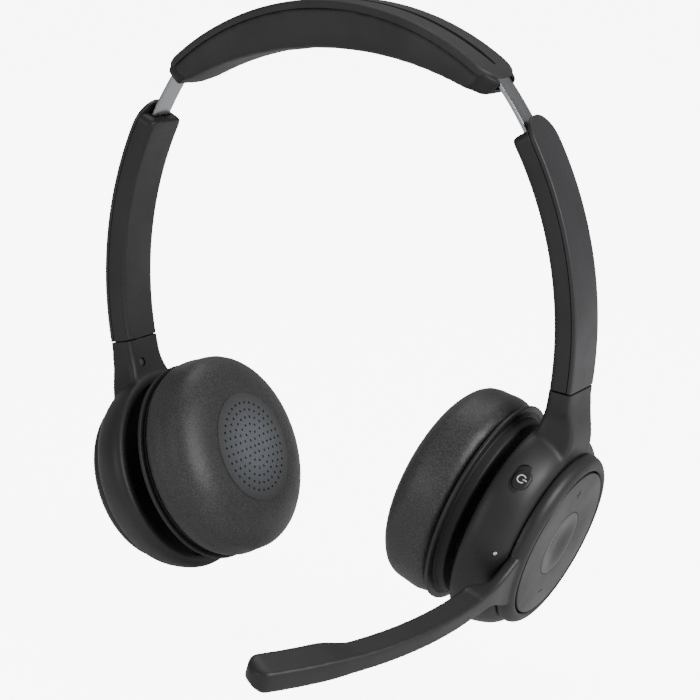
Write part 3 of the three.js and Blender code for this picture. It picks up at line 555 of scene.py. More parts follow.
def circuit_board(name):
    """Green solder mask with faint tracks under it."""
    material, nodes, links, shader, coords = blank(name)
    tracks = nodes.new("ShaderNodeTexBrick")
    tracks.inputs["Scale"].default_value = 420
    tracks.inputs["Color1"].default_value = (0.01, 0.09, 0.04, 1)
    tracks.inputs["Color2"].default_value = (0.012, 0.11, 0.05, 1)
    tracks.inputs["Mortar"].default_value = (0.03, 0.17, 0.07, 1)
    links.new(coords, tracks.inputs["Vector"])
    links.new(tracks.outputs["Color"], shader.inputs["Base Color"])
    grime = noise_node(nodes, links, coords, 200)
    links.new(ranged(nodes, links, grime, 0.25, 0.4), shader.inputs["Roughness"])
    bump(nodes, links, shader, tracks.outputs["Fac"], 0.2, 0.00003)
    return material


def printed_ink(name, colour):
    """Pad-printed ink, slightly broken up by the grain under it."""
    material, nodes, links, shader, coords = blank(name)
    speckle = noise_node(nodes, links, coords, 2600, detail=2)
    factor = ranged(nodes, links, speckle, 0, 1)
    tone = mixed_colour(nodes, links, factor, lighter(colour, 0.86), colour)
    links.new(tone, shader.inputs["Base Color"])
    links.new(ranged(nodes, links, speckle, 0.5, 0.62), shader.inputs["Roughness"])
    bump(nodes, links, shader, speckle, 0.1, 0.00002)
    return material


def lamp_lens(name):
    """A clear diffusing lens that catches the light."""
    material, nodes, links, shader, coords = blank(name)
    haze = noise_node(nodes, links, coords, 900)
    tone = mixed_colour(nodes, links, haze, (0.62, 0.72, 0.68), (0.85, 0.92, 0.9))
    links.new(tone, shader.inputs["Base Color"])
    links.new(ranged(nodes, links, haze, 0.12, 0.22), shader.inputs["Roughness"])
    shader.inputs["Coat Weight"].default_value = 0.5
    bump(nodes, links, shader, haze, 0.05, 0.00002)
    return material


def stage_paper(name):
    material, nodes, links, shader, coords = blank(name)
    mottle = noise_node(nodes, links, coords, 9, detail=2)
    tone = mixed_colour(nodes, links, mottle, (0.86, 0.86, 0.87), (0.9, 0.9, 0.9))
    links.new(tone, shader.inputs["Base Color"])
    shader.inputs["Roughness"].default_value = 0.9
    seen = nodes.new("ShaderNodeLightPath").outputs["Is Camera Ray"]
    shader.inputs["Emission Color"].default_value = (1, 1, 1, 1)
    links.new(ranged(nodes, links, seen, 0, 8, 0, 1), shader.inputs["Emission Strength"])
    return material


CHARCOAL = (0.027, 0.027, 0.029)
SHELL = moulded_plastic("shell_plastic", lighter(CHARCOAL, 0.68), 0.46)
COVER = moulded_plastic("cover_plastic", lighter(CHARCOAL, 1.1), 0.42, grain=0.16)
INNER = moulded_plastic("inner_plastic", lighter(CHARCOAL, 0.42), 0.6)
DIAL = moulded_plastic("dial_plastic", lighter(CHARCOAL, 0.7), 0.4, grain=0.12, grain_scale=5200)
BUTTON = moulded_plastic("button_plastic", lighter(CHARCOAL, 0.62), 0.28, grain=0.05)
SLEEVE = moulded_plastic("sleeve_soft_touch", lighter(CHARCOAL, 0.92), 0.56, grain=0.3, grain_scale=2600)
LEATHER_COLOUR = (0.052, 0.052, 0.053)
LEATHER = leatherette("pad_leatherette", LEATHER_COLOUR)
PANELS = {side: perforated_cloth(f"panel_cloth_{side}", (0.112, 0.122, 0.138), LEATHER_COLOUR, side)
          for side in SIDES}
STEEL = brushed_metal("strip_steel", (0.42, 0.43, 0.45), 0.26)
PIN_STEEL = brushed_metal("pin_steel", (0.15, 0.15, 0.16), 0.42)
BRASS = brushed_metal("rivet_brass", (0.62, 0.44, 0.18), 0.3)
FOIL = brushed_metal("foil_metal", (0.42, 0.44, 0.46), 0.3, along="Y")
NYLON = moulded_plastic("guide_nylon", (0.66, 0.63, 0.56), 0.5)
BOARD = circuit_board("board_mask")
INK = printed_ink("mark_ink", (0.004, 0.004, 0.004))
ICON = printed_ink("icon_ink", (0.8, 0.8, 0.8))
LENS = lamp_lens("lamp_lens")

# ------------------------------------------------------------------ headband

TOP = math.pi / 2
band_end = math.radians(BAND_END)
body_end = band_end - END_CAP_L * 0.5 / BAND_R
slot_end = body_end - SLOT_END_L / BAND_R
pad_centre_drop = PAD_R - (BAND_R - BAND_T)
pad_top = BAND_R - SHELL_T + 1       # the soft cover is drawn up round the tray, under the sleeve


def pad_underside(angle):
    """Distance from the band's centre to the underside of the pad, at an angle from the top of the head."""
    return (math.sqrt(PAD_R ** 2 - (pad_centre_drop * math.sin(angle)) ** 2)
            - pad_centre_drop * math.cos(angle))


def end_distance(angle, end, radius):
    return (end - abs(TOP - angle)) * radius


def band_section(top, bottom, top_round, bottom_round, end, corner, end_round, inset=0):
    """Outlines across the band whose width and height are drawn in around its ends."""
    def section(angle):
        distance = end_distance(angle, end, BAND_R)
        half = BAND_W / 2 - inset - corner_inset(distance, corner)
        high = top - corner_inset(distance, end_round)
        low = bottom(angle) if callable(bottom) else bottom
        return rounded([
            (high, -half, top_round), (high, half, top_round),
            (low, half, bottom_round), (low, -half, bottom_round),
        ], 1, steps=6)
    return section


def band_angles(end, corner, steps=72):
    return eased_ends(TOP - end, TOP + end, corner / BAND_R, steps)


def slot_tool():
    """A long cutter whose ends taper, as the slot's do."""
    def section(angle):
        distance = end_distance(angle, slot_end, BAND_R)
        half = SLOT_W / 2 * min(1, 0.4 + distance / 12)
        return [(BAND_R + 1, -half - 0.25), (BAND_R + 1, half + 0.25),
                (BAND_R - SLOT_DEPTH, half), (BAND_R - SLOT_DEPTH, -half)]
    return arc_loft(section, spread(TOP - slot_end, TOP + slot_end, 80))


def headband_sleeve():
    section = band_section(BAND_R, BAND_R - SHELL_T, 2.3, 0.1, body_end, BAND_CORNER, 1.2)
    return cut(arc_loft(section, band_angles(body_end, BAND_CORNER)), slot_tool())


def headband_sides():
    top = BAND_R - SHELL_T - 0.06
    section = band_section(top, BAND_R - TRAY_DEPTH, 0.1, 0.1, body_end, BAND_CORNER, 0.1, inset=0.7)
    return arc_loft(section, band_angles(body_end, BAND_CORNER))


def slot_strip():
    def section(angle):
        return rounded([(BAND_R - SLOT_DEPTH + 0.35, -0.75), (BAND_R - SLOT_DEPTH + 0.35, 0.75),
                        (BAND_R - SLOT_DEPTH - 0.5, 0.75), (BAND_R - SLOT_DEPTH - 0.5, -0.75)], 0.15)
    end = slot_end - 9 / BAND_R
    return arc_loft(section, spread(TOP - end, TOP + end, 60))


def head_pad_blank():
    """The pad before it is swollen: a lens between the sleeve and a flatter arc."""
    def low(angle):
        return pad_underside(TOP - angle)
    section = band_section(pad_top, low, 0.5, 2.6, body_end, BAND_CORNER, 0.2, inset=0.06)
    return arc_loft(section, band_angles(body_end, BAND_CORNER))


def end_cap():
    """The dark end that the steel strip leaves through, half hidden by the sleeve."""
    start = TOP - band_end
    stop = start + 9 / BAND_R

    def section(angle):
        distance = (angle - start) * BAND_R
        half = BAND_W / 2 - 1 - corner_inset(distance, 6)
        high = BAND_R - 0.9 - corner_inset(distance, 1)
        low = pad_underside(TOP - angle) + 0.7 + corner_inset(distance, 2.5)
        return rounded([(high, -half), (high, half), (low, half), (low, -half)], 1.4, steps=5)
    body = arc_loft(section, eased_ends(start, stop, 4 / BAND_R, 8))
    exit_radius = BAND_R - STRIP_DEPTH
    mouth = box((STRIP_T + 1.4, STRIP_W + 1.2, 12), (0, 0, 0))
    turn = Matrix.Rotation(-(TOP - start), 4, "Y").inverted()
    place = Matrix.Translation((exit_radius * math.cos(start), 0, exit_radius * math.sin(start))) @ turn
    return cut(body, moved(mouth, place @ Matrix.Rotation(TOP, 4, "Y")))


# ------------------------------------------------------------------ strips and arms

exit_r = BAND_R - STRIP_DEPTH
exit_at = Vector((exit_r * math.sin(band_end), 0, band_frame.translation.z + exit_r * math.cos(band_end)))
exit_angle = math.atan2(exit_at.z - arm_centre.z, exit_at.x - arm_centre.x)
arm_top = math.radians(ARM_TOP)
arm_seam = math.radians(ARM_SEAM)
arm_inner = ARM_R - ARM_T / 2
arm_outer = ARM_R + ARM_T / 2


def steel_strip():
    """A spring steel strip that follows the arm's arc from inside the arm into the headband."""
    def section(angle):
        half_t = STRIP_T / 2
        half_w = STRIP_W / 2
        return rounded([(ARM_R - half_t, -half_w), (ARM_R + half_t, -half_w),
                        (ARM_R + half_t, half_w), (ARM_R - half_t, half_w)], 0.35)
    start = arm_top - STRIP_HIDDEN_L / ARM_R
    return arc_loft(section, spread(start, exit_angle + STRIP_TAIL_L / ARM_R, 48))


def arm_section(inner, outer, inner_round, outer_round, end, end_corner, end_round, seam_round=0.35):
    def section(angle):
        top_gap = (end - angle) * ARM_R
        half = ARM_W / 2 - corner_inset(top_gap, end_corner)
        low = inner + corner_inset(top_gap, end_round)
        high = outer - corner_inset(top_gap, end_round)
        seam_gap = (angle - arm_seam) * ARM_R - SEAM / 2
        rim = corner_inset(seam_gap, seam_round)
        half -= rim
        return rounded([(low + rim, -half, inner_round), (low + rim, half, inner_round),
                        (high - rim, half, outer_round), (high - rim, -half, outer_round)], 1, steps=6)
    return section


def arm_angles(end, corner):
    start = arm_seam + SEAM / 2 / ARM_R
    return eased_ends(start, end, corner / ARM_R, 56, fine=10)


def arm_shell():
    end = arm_top - ARM_STEP / ARM_R
    outer = arm_outer - COVER_T - SEAM / 2
    section = arm_section(arm_inner, outer, 2.0, 0.3, end, 2.4, 0.8)
    body = arc_loft(section, arm_angles(end, 2.4))

    def mouth_section(angle):
        half_t = STRIP_T / 2 + 0.4
        half_w = STRIP_W / 2 + 0.5
        return [(ARM_R - half_t, -half_w), (ARM_R + half_t, -half_w),
                (ARM_R + half_t, half_w), (ARM_R - half_t, half_w)]
    mouth = arc_loft(mouth_section, spread(end - 44 / ARM_R, end + 3 / ARM_R, 20))
    return cut(body, mouth)


def arm_cover():
    """The outer skin of the arm, with a round top that stands above the shell."""
    end = arm_top + 0.8 / ARM_R
    section = arm_section(arm_outer - COVER_T, arm_outer, 0.25, 0.9, end, ARM_W / 2 - 0.4, 0.3)
    return arc_loft(section, arm_angles(end, ARM_W / 2 - 0.4))


# ------------------------------------------------------------------ cup housing

def neck_rings():
    """Outlines from the swivel seam down into the housing, in the cup's frame, growing wider as they go."""
    rings = []
    for distance in spread(-NECK_SPARE, NECK_L, 30):
        angle = arm_seam - distance / ARM_R
        flare = max(0, distance - NECK_STRAIGHT) / (NECK_L - NECK_STRAIGHT)
        half = ARM_W / 2 + 0.1 + NECK_FLARE * flare ** 2
        outer = arm_outer + 0.1 + NECK_SWELL * smoothstep(distance, 1, 15)
        inner = arm_inner - 0.1 - 1.2 * flare
        outline = rounded([(inner, -half, 2.0), (inner, half, 2.0), (outer, half - 5.5 * flare, 1.1),
                           (outer, -half + 5.5 * flare, 1.1)], 1, steps=5)
        rings.append([
            arm_to_cup @ Vector((radius * math.cos(angle), y, radius * math.sin(angle)))
            for radius, y in outline
        ])
    return rings


def housing_blank():
    outside = rounded([
        (0, 4.0), (RING_R, 4.0), (RING_R + 2.6, 6.2), (HOUSING_R - 0.9, 10, 3), (HOUSING_R + 0.2, 14.8, 2.6),
        (HOUSING_R - 1.1, HOUSING_DEPTH, 1.1), (0, HOUSING_DEPTH),
    ], 2.4, closed=False)
    return merged(lathe(outside, 96), loft(neck_rings()))


def below_seam(point):
    """Distance of a point of the cup's drawing below the swivel seam, along the arm's arc."""
    at = arm_frame.inverted() @ cup_frame @ Vector(point)
    return (arm_seam - math.atan2(at.z, at.x)) * ARM_R


def neck_softness(point):
    return 0.2 + 0.8 * smoothstep(below_seam(point), 3, 11)


def seam_tool():
    """A block standing on the swivel seam, which cuts the neck off flat there."""
    block = box((3 * ARM_T, 3 * ARM_W, 16), (ARM_R, 0, 8 - SEAM / 2))
    return moved(block, arm_to_cup @ Matrix.Rotation(-arm_seam, 4, "Y"))


def stadium_ring(half, radius, height, steps):
    """A stadium outline at one height: half circles whose centres are half before and half behind."""
    ring = []
    for end in (1, -1):
        for i in range(steps + 1):
            angle = -math.pi / 2 + math.pi * i / steps
            if end < 0:
                angle += math.pi
            ring.append((radius * math.sin(angle), end * half + radius * math.cos(angle), height))
    return ring


def stadium_tool(length, width, near, far):
    """An upright stadium prism, long axis along Y, from one height to another along Z."""
    return loft([stadium_ring((length - width) / 2, width / 2, height, 10) for height in (near, far)])


def around_cup(angle_from_neck, radius, depth):
    """A place on the cup's side: Z points outwards, Y around the cup and X along its axis."""
    turn = Matrix.Rotation(math.pi + math.radians(angle_from_neck), 4, "Z")
    tilt = Matrix.Rotation(math.pi / 2, 4, "Y")
    return turn @ Matrix.Translation((radius, 0, -depth)) @ tilt


def housing(side):
    body = blended(housing_blank(), 0.6, 9, neck_softness)
    seat = lathe([(0, -9), (RING_R + 0.25, -9), (RING_R + 0.25, RING_DEPTH + 0.3), (0, RING_DEPTH + 0.3)])
    inner = HOUSING_R - 1.4 - WALL
    room = lathe([(0, RING_DEPTH + 3), (RING_R - WALL, RING_DEPTH + 3), (inner, COVER_DEPTH - 3),
                  (inner + 0.4, HOUSING_DEPTH + 6), (0, HOUSING_DEPTH + 6)])
    angle = arm_seam - NECK_SCREW_DROP / ARM_R
    hole = moved(rod(NECK_SCREW_R, 3), Matrix.Rotation(math.pi / 2, 4, "Y"))
    hole = moved(hole, Matrix.Rotation(-angle, 4, "Y") @ Matrix.Translation((arm_inner, NECK_SCREW_BACK, 0)))
    body = cut(body, seat, room, seam_tool(), moved(hole, arm_to_cup))
    if side == "right":
        recess = moved(stadium_tool(SWITCH_L + 2.6, SWITCH_W + 0.3, -0.45, 8),
                       around_cup(SWITCH_ANGLE, SWITCH_R, SWITCH_DEPTH))
        lamp = moved(rod(0.5, 8, segments=24), around_cup(LAMP_ANGLE, RING_R + 2.4, LAMP_DEPTH))
        socket = box((12, USB_W, USB_T), (HOUSING_R, 0, -USB_DEPTH))
        body = cut(body, recess, lamp, socket)
    return body


def ring_lip():
    """The ring's outside, with a rounded lip around the dial."""
    return rounded([
        (DIAL_R + 0.3, 0.35, 0.2), (DIAL_R + 1.1, -0.15, 0.5), (RING_R - 1.4, 0.3, 1.2),
        (RING_R, 1.9, 1.2), (RING_R, RING_DEPTH, 0.25), (DIAL_R + 0.3, RING_DEPTH, 0.2),
    ], 0.3, steps=6)


# ------------------------------------------------------------------ boom

def bend(reach):
    """Depth added by the bend: a parabola that starts level at the root."""
    return BOOM_BEND * (max(0, reach - BOOM_ROOT) / (BOOM_REACH - BOOM_ROOT)) ** 2


def smoothstep(value, low, high):
    t = min(1, max(0, (value - low) / (high - low)))
    return t * t * (3 - 2 * t)


def swell(reach):
    start = BOOM_REACH - MIC_L
    return MIC_SWELL * smoothstep(reach, start - 4, start + 5)


def boom_place():
    return (Matrix.Rotation(-math.pi / 2 + math.radians(BOOM_DROP), 4, "Z")
            @ Matrix.Translation((0, BOOM_OFFSET, 0)))


def boom_ring(reach, outer, inner, half, corner):
    lean = math.atan(2 * BOOM_BEND * max(0, reach - BOOM_ROOT) / (BOOM_REACH - BOOM_ROOT) ** 2)
    middle = (outer + inner) / 2
    outline = rounded([(outer - middle, -half), (outer - middle, half),
                       (inner - middle, half), (inner - middle, -half)], corner, steps=5)
    ring = []
    for depth, across in outline:
        far = middle + bend(reach) + depth * math.cos(lean)
        ring.append((reach - depth * math.sin(lean), across, -far))
    return ring


def boom_bar():
    """The bar from inside the ring to its rounded tip, wide and shallow at the root."""
    rings = []
    for reach in spread(RING_R - 4.5, BOOM_ROOT, 16):
        root = 1 - smoothstep(reach, RING_R - 4, BOOM_ROOT)
        inner = RING_DEPTH + (1 + BOOM_T - RING_DEPTH) * smoothstep(reach, BOOM_ROOT - 9, BOOM_ROOT)
        rings.append(boom_ring(reach, BOOM_FACE, inner, BOOM_W / 2 + 0.35 + 5.5 * root ** 2, 1.1))
    for reach in spread(BOOM_ROOT + 1, BOOM_REACH - BOOM_TIP_L, 60):
        half = BOOM_W / 2 + MIC_WIDENING * swell(reach) / MIC_SWELL
        rings.append(boom_ring(reach, BOOM_FACE, 1 + BOOM_T + swell(reach), half, 1.1))
    full = (1 + BOOM_T + MIC_SWELL - BOOM_FACE) / 2
    middle = BOOM_FACE + full
    for i in range(1, 9):
        t = math.sin(math.pi / 2 * i / 8)
        share = math.sqrt(max(0.02, 1 - t * t))
        reach = BOOM_REACH - BOOM_TIP_L + BOOM_TIP_L * t
        rings.append(boom_ring(reach, middle - full * share, middle + full * share,
                               (BOOM_W / 2 + MIC_WIDENING) * (0.35 + 0.65 * share), 1.1 * share))
    return moved(loft(rings), boom_place())


def boom_arm():
    body = blended(merged(lathe(ring_lip(), 96), boom_bar()), 0.5, 4)
    bore = lathe([(0, -5), (DIAL_R + 0.35, -5), (DIAL_R + 0.35, 12), (0, 12)], 160)
    seat = lathe([(DIAL_R - 1, RING_DEPTH), (RING_R + 0.3, RING_DEPTH), (RING_R + 0.3, 14),
                  (DIAL_R - 1, 14)], 160)
    slots = []
    for from_tip in MIC_SLOTS:
        reach = BOOM_REACH - from_tip
        depth = 1 + BOOM_T + MIC_SWELL + bend(reach)
        tool = stadium_tool(MIC_SLOT_L, MIC_SLOT_W, -1, 1)
        slots.append(moved(tool, boom_place() @ Matrix.Translation((reach, 0, -depth))))
    body = cut(body, bore)
    body = cut(body, seat)
    return cut(body, *slots)


# ------------------------------------------------------------------ controls

def dial():
    profile = rounded([
        (BUTTON_R + 0.14, 0.02, 0.12), (DIAL_R - 0.1, 0.0, 0.35), (DIAL_R, DIAL_T, 0.2),
        (BUTTON_R + 0.14, DIAL_T, 0.1),
    ], 0.2, steps=5)
    return lathe(profile, 160)


def call_button():
    """A shallow dish that starts flush with the dial."""
    dish = []
    for i in range(15):
        t = i / 14
        dish.append((BUTTON_R * 0.98 * t, BUTTON_DISH * (1 - smoothstep(t, 0.05, 0.98)) + 0.03))
    corners = [(BUTTON_R * 0.98, 0.03), (BUTTON_R, 0.05), (BUTTON_R, DIAL_T), (0, DIAL_T)]
    edge = rounded(corners, 0.15, closed=False)
    return lathe([Vector(point) for point in dish[:-1]] + edge, 160)


def mark(kind):
    """A plus or a minus sign, 2.6 mm wide, just proud of the dial."""
    bars = [box((0.46, 2.6, 0.05), (0, 0, 0.012))]
    if kind == "plus":
        bars += [box((1.07, 0.46, 0.05), (side * 0.765, 0, 0.012)) for side in (-1, 1)]
    return merged(*bars)


def switch_knob():
    """A low stadium slider whose edge is rounded in steps of (drawn in, height)."""
    half = (SWITCH_L - SWITCH_W) / 2
    steps = [(0, -1.6), (0, -0.5), (0.12, -0.24), (0.4, -0.05), (0.8, 0), (1.6, 0.02)]
    return loft([stadium_ring(half, SWITCH_W / 2 - inset, height, 12) for inset, height in steps])


def power_icon():
    """A plain power sign: an open ring with a bar in its gap."""
    radius = 1.15
    wire = 0.15
    gap = math.radians(38)
    rings = []
    for angle in spread(gap, 2 * math.pi - gap, 40):
        centre = Vector((-radius * math.cos(angle), radius * math.sin(angle), 0.04))
        outward = centre.copy()
        outward.z = 0
        outward.normalize()
        rings.append([centre + outward * a * wire + Vector((0, 0, b * 0.06))
                      for a, b in ((1, -1), (1, 1), (-1, 1), (-1, -1))])
    return merged(loft(rings), box((1.2, 2 * wire, 0.12), (-1.05, 0, 0.04)))


# ------------------------------------------------------------------ ear pads

def pad_plate():
    """The plate behind the cushion, with a thin rim that stands out around it."""
    body = PLATE_R - PLATE_RIM_W
    rim = PLATE_FACE - PLATE_RIM_T
    return lathe(rounded([
        (0, PLATE_DEPTH + 0.8, 0.1), (15.5, PLATE_DEPTH + 0.8, 0.6), (17, PLATE_DEPTH, 0.8),
        (body, PLATE_DEPTH, 0.9), (body + 0.2, rim, 0.4), (PLATE_R, rim - 0.1, 0.3),
        (PLATE_R + 0.1, PLATE_FACE, 0.3), (PLATE_R - 1.6, PLATE_FACE + 0.1, 0.2),
        (PLATE_R - 1.8, PLATE_FACE + 0.5, 0.1), (0, PLATE_FACE + 0.5, 0.1),
    ], 0.3, closed=False), 160)


def cushion_blank():
    """The cushion before it is swollen: a fat ring with a shallow valley round its side and a sunk centre."""
    back = PLATE_FACE + 0.3
    top = CUP_DEPTH + CROWN
    corners = [
        (0, back), (CUSHION_R - 2.4, back, 0.5), (CUSHION_R - 0.4, back + 1.4, 2),
        (CUSHION_R + 0.5, back + 4.8, 3), (CUSHION_R - 0.3, back + 8.4, 3), (CUSHION_R, back + 12, 3),
        (CUSHION_R - 2.6, top - 3.6, 3.5), (CUSHION_R - 8.5, top - 0.85, 4),
        (PANEL_R - 2.3, top - 0.7, 0.2), (PANEL_R - 2.5, top - 1.9, 0.2), (0, top - 1.9),
    ]
    return lathe(rounded(corners, 1, steps=5, closed=False), 96)


def panel_dome(radius):
    """Depth of the crowned face that the perforated centre shares with the cushion around it."""
    return CUP_DEPTH + CROWN - 0.6 * (radius / PANEL_R) ** 2


def ear_panel():
    """Crowned disc with rings of small holes."""
    front = [(PANEL_R * i / 10, panel_dome(PANEL_R * i / 10)) for i in range(11)]
    back = panel_dome(0) - 1.8
    disc = lathe(front + [(PANEL_R, back), (0, back)], 120)
    holes = []
    for ring in range(HOLE_RINGS):
        count = max(1, 6 * ring)
        for i in range(count):
            angle = 2 * math.pi * (i + 0.5 * (ring % 2)) / count
            away = ring * HOLE_PITCH
            centre = (away * math.cos(angle), away * math.sin(angle), -panel_dome(away))
            holes.append(rod(HOLE_R, 2.2, centre, segments=12))
    return cut(disc, *holes)


def swell_pad(bm, place, voxel, pressure, cap, held):
    """Swells a closed pad with cloth under pressure. held(point) says which points are glued down."""
    bm.transform(Matrix.Scale(MM, 4) @ place)
    obj = as_object(bm, "pad_blank")
    remesh = obj.modifiers.new("voxels", "REMESH")
    remesh.mode = "VOXEL"
    remesh.voxel_size = voxel
    bm = as_bmesh(obj)
    obj = as_object(bm, "pad_cloth")
    inverse = (Matrix.Scale(MM, 4) @ place).inverted()
    start = [vertex.co.copy() for vertex in obj.data.vertices]
    pins = obj.vertex_groups.new(name="pins")
    pins.add([i for i, co in enumerate(start) if held(inverse @ co)], 1, "REPLACE")
    cloth = obj.modifiers.new("cloth", "CLOTH")
    settings = cloth.settings
    settings.quality = 6
    settings.use_pressure = True
    settings.uniform_pressure_force = pressure
    settings.vertex_group_mass = "pins"
    settings.effector_weights.gravity = 0
    settings.tension_stiffness = 18
    settings.compression_stiffness = 18
    settings.bending_stiffness = 2
    cloth.collision_settings.use_collision = False
    scene = bpy.context.scene
    for number in range(1, 21):
        scene.frame_set(number)
    evaluated = obj.evaluated_get(bpy.context.evaluated_depsgraph_get())
    swollen = [vertex.co.copy() for vertex in evaluated.data.vertices]
    obj.modifiers.remove(cloth)
    scene.frame_set(1)
    for vertex, before, after in zip(obj.data.vertices, start, swollen):
        shift = after - before
        if shift.length > cap:
            shift = shift.normalized() * cap
        vertex.co = before + shift
    smooth = obj.modifiers.new("smooth", "SMOOTH")
    smooth.factor = 0.5
    smooth.iterations = 3
    subdivide = obj.modifiers.new("fine", "SUBSURF")
    subdivide.levels = 1
    subdivide.render_levels = 1
    bm = as_bmesh(obj)
    bm.transform(inverse)
    return bm


def ear_cushion(side):
    place = side_turn(side) @ cup_frame

    def held(point):
        radius = math.hypot(point.x, point.y)
        return -point.z < PLATE_FACE + 1.2 or radius < PANEL_R + 1
    return swell_pad(cushion_blank(), place, 0.0016, 4, 0.0008, held)


# ------------------------------------------------------------------ putting the pieces in place

def build_headband():
    place = band_frame
    piece("headband_sleeve", headband_sleeve(), place, "headband", SLEEVE, ["headband_shell"])
    piece("headband_sides", headband_sides(), place, "headband", SLEEVE, ["headband_tray"])
    piece("slot_strip", slot_strip(), place, "headband", INNER, ["slot_liner"])

    def held(point):
        radius = math.hypot(point.x, point.z)
        return radius > BAND_R - TRAY_DEPTH
    pad_mesh = swell_pad(head_pad_blank(), place, 0.0014, 3, 0.0005, held)
    pad = piece("head_pad_soft", pad_mesh, place, "headband", SLEEVE, ["head_pad"], crease=80)
    for side in SIDES:
        turn = side_turn(side)
        piece(f"band_end_{side}", end_cap(), turn @ place, "headband", INNER, [f"end_cap_{side}"])
        piece(f"size_strip_{side}", steel_strip(), turn @ arm_frame, "headband", STEEL,
              [f"steel_strip_{side}"])


def build_arm(side):
    place = side_turn(side) @ arm_frame
    body = f"{side}_arm"
    piece(f"arm_inside_{side}", arm_shell(), place, body, SHELL, [f"arm_shell_{side}"])
    piece(f"arm_outside_{side}", arm_cover(), place, body, COVER, [f"arm_cover_{side}"])


def build_cup(side):
    place = side_turn(side) @ cup_frame
    body = f"{side}_cup"
    piece(f"cup_housing_{side}", housing(side), place, body, SHELL, [f"housing_{side}"])
    lid = washer(0, HOUSING_R - 4.0, COVER_DEPTH, COVER_DEPTH + 1.4, edge=0.4)
    lid_lugs = [box((1.9, 3.4, 5.2), (end * LUG_REACH, 0, -(COVER_DEPTH + 3.1))) for end in (-1, 1)]
    piece(f"cup_lid_{side}", merged(lid, *lid_lugs), place, body, INNER, [f"cup_cover_{side}"])


def build_pad(side):
    place = side_turn(side) @ cup_frame
    body = f"{side}_pad"
    piece(f"pad_back_{side}", pad_plate(), place, body, INNER, [f"pad_plate_{side}"])
    rim = washer(PLATE_R - 1.7, PLATE_R + 0.25, PLATE_FACE - PLATE_RIM_T - 0.15, PLATE_FACE + 0.12, edge=0.4)
    piece(f"pad_rim_{side}", rim, place, body, SHELL)
    cushion = piece(f"cushion_{side}", ear_cushion(side), place, body, LEATHER,
                    [f"ear_cushion_{side}"], crease=80)
    piece(f"perforated_centre_{side}", ear_panel(), place, body, PANELS[side],
          [f"ear_panel_{side}"])


def build_controls():
    place = cup_frame
    piece("dial_disc", dial(), place, "dial", DIAL, ["volume_dial"])
    piece("call_dish", call_button(), place, "button", BUTTON, ["call_button"])
    mark_radius = (DIAL_R + BUTTON_R) / 2
    piece("plus_mark", mark("plus"), place @ Matrix.Translation((-mark_radius, 0, 0)), "dial", INK)
    piece("minus_mark", mark("minus"), place @ Matrix.Translation((mark_radius, 0, 0)), "dial", INK)
    at_switch = place @ around_cup(SWITCH_ANGLE, SWITCH_R, SWITCH_DEPTH)
    piece("switch_slider", switch_knob(), at_switch, "switch", SHELL, ["power_switch"])
    piece("switch_icon", power_icon(), at_switch, "switch", ICON)
    lens = moved(rod(0.4, 2.6, segments=24), around_cup(LAMP_ANGLE, RING_R + 2.2, LAMP_DEPTH))
    piece("lamp_lens", lens, place, "right_cup", LENS, ["status_lamp"])


def build_plain_cap():
    profile = rounded([
        (0, 0), (RING_R - 5, 0.05, 3), (RING_R - 1.6, 0.6, 1.4), (RING_R, 2.4, 1.4),
        (RING_R, RING_DEPTH, 0.25), (0, RING_DEPTH),
    ], 0.3, steps=6, closed=False)
    piece("plain_disc", lathe(profile, 160), side_turn("left") @ cup_frame, "left_cup", DIAL,
          ["plain_cap"])


def build_boom():
    piece("boom_bar", boom_arm(), cup_frame, "boom", SHELL, ["boom_arm", "boom_cover"])


def finish_cad_nodes():
    """Better materials for the design's own pieces that stay."""
    kinds = {
        "nylon": NYLON, "steel": PIN_STEEL, "brass": BRASS, "foil": FOIL, "board": BOARD, "inner": INNER,
        "dial": DIAL, "button": BUTTON, "shell": SHELL, "cover": COVER, "leather": LEATHER,
        "panel": LEATHER, "light": LENS,
    }
    for part in frame["record"]["subparts"]:
        node = frame["nodes"][part["node"]]
        node.data.materials.clear()
        node.data.materials.append(kinds[part["material_slot"]])


# ------------------------------------------------------------------ stage, light and camera

CAMERA_AT = Vector((288.8, -490.8, 153.9)) * MM
CAMERA_AZIMUTH = 30.14
CAMERA_ELEVATION = 11.96
CAMERA_ROLL = -0.56
CAMERA_LENS = 101.49


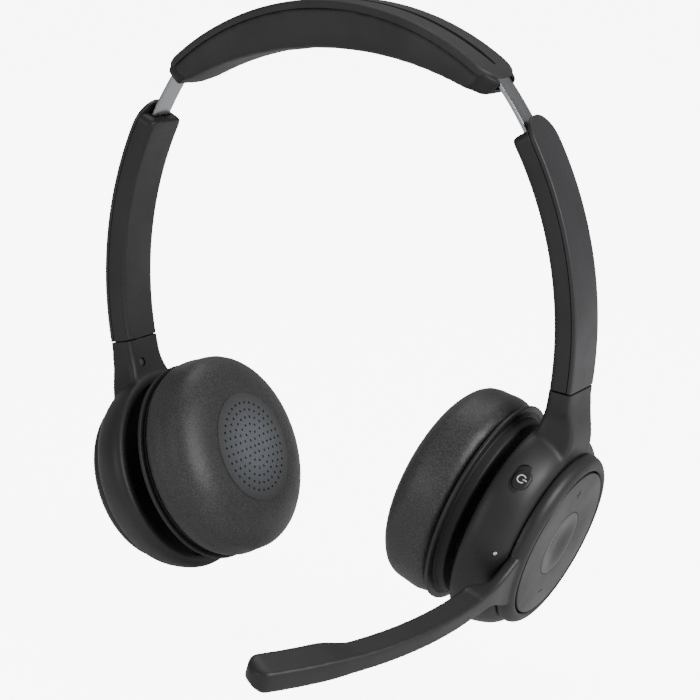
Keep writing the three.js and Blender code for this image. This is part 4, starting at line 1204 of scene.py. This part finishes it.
def build_camera():
    azimuth = math.radians(CAMERA_AZIMUTH)
    elevation = math.radians(CAMERA_ELEVATION)
    roll = math.radians(CAMERA_ROLL)
    back = Vector((math.sin(azimuth) * math.cos(elevation), -math.cos(azimuth) * math.cos(elevation),
                   math.sin(elevation)))
    level = Vector((math.cos(azimuth), math.sin(azimuth), 0))
    up = back.cross(level)
    right = math.cos(roll) * level + math.sin(roll) * up
    top = back.cross(right)
    camera = bpy.data.objects.new("camera", bpy.data.cameras.new("camera"))
    bpy.context.scene.collection.objects.link(camera)
    camera.data.lens = CAMERA_LENS
    camera.data.sensor_width = 36
    camera.data.clip_start = 0.01
    camera.matrix_world = Matrix((
        (right.x, top.x, back.x, CAMERA_AT.x),
        (right.y, top.y, back.y, CAMERA_AT.y),
        (right.z, top.z, back.z, CAMERA_AT.z),
        (0, 0, 0, 1),
    ))
    bpy.context.scene.camera = camera


def soft_light(name, at, size, power, target=(0, 0, 0.03)):
    data = bpy.data.lights.new(name, "AREA")
    data.shape = "SQUARE"
    data.size = size
    data.energy = power
    light = bpy.data.objects.new(name, data)
    bpy.context.scene.collection.objects.link(light)
    light.location = at
    light.rotation_euler = (Vector(target) - Vector(at)).to_track_quat("-Z", "Y").to_euler()
    return light


def build_stage():
    floor_mesh = bmesh.new()
    bmesh.ops.create_grid(floor_mesh, x_segments=1, y_segments=1, size=6)
    bmesh.ops.translate(floor_mesh, vec=(0, 0, cad_box[0][2] - 0.02), verts=floor_mesh.verts)
    floor = as_object(floor_mesh, "floor")
    floor.data.materials.append(stage_paper("stage_paper"))
    world = bpy.data.worlds.new("studio")
    world.use_nodes = True
    nodes = world.node_tree.nodes
    links = world.node_tree.links
    seen = nodes.new("ShaderNodeLightPath").outputs["Is Camera Ray"]
    nodes["Background"].inputs["Color"].default_value = (1, 1, 1, 1)
    links.new(ranged(nodes, links, seen, 0.3, 9, 0, 1), nodes["Background"].inputs["Strength"])
    bpy.context.scene.world = world
    soft_light("key", (1.3, -0.15, 0.75), 0.7, 20)
    soft_light("top", (-0.1, 0.5, 1.3), 0.7, 4)
    soft_light("fill", (-0.5, -1.3, 0.5), 0.8, 4)


build_camera()
finish_cad_nodes()
build_headband()
for each_side in SIDES:
    build_arm(each_side)
    build_cup(each_side)
    build_pad(each_side)
build_controls()
build_plain_cap()
build_boom()
build_stage()
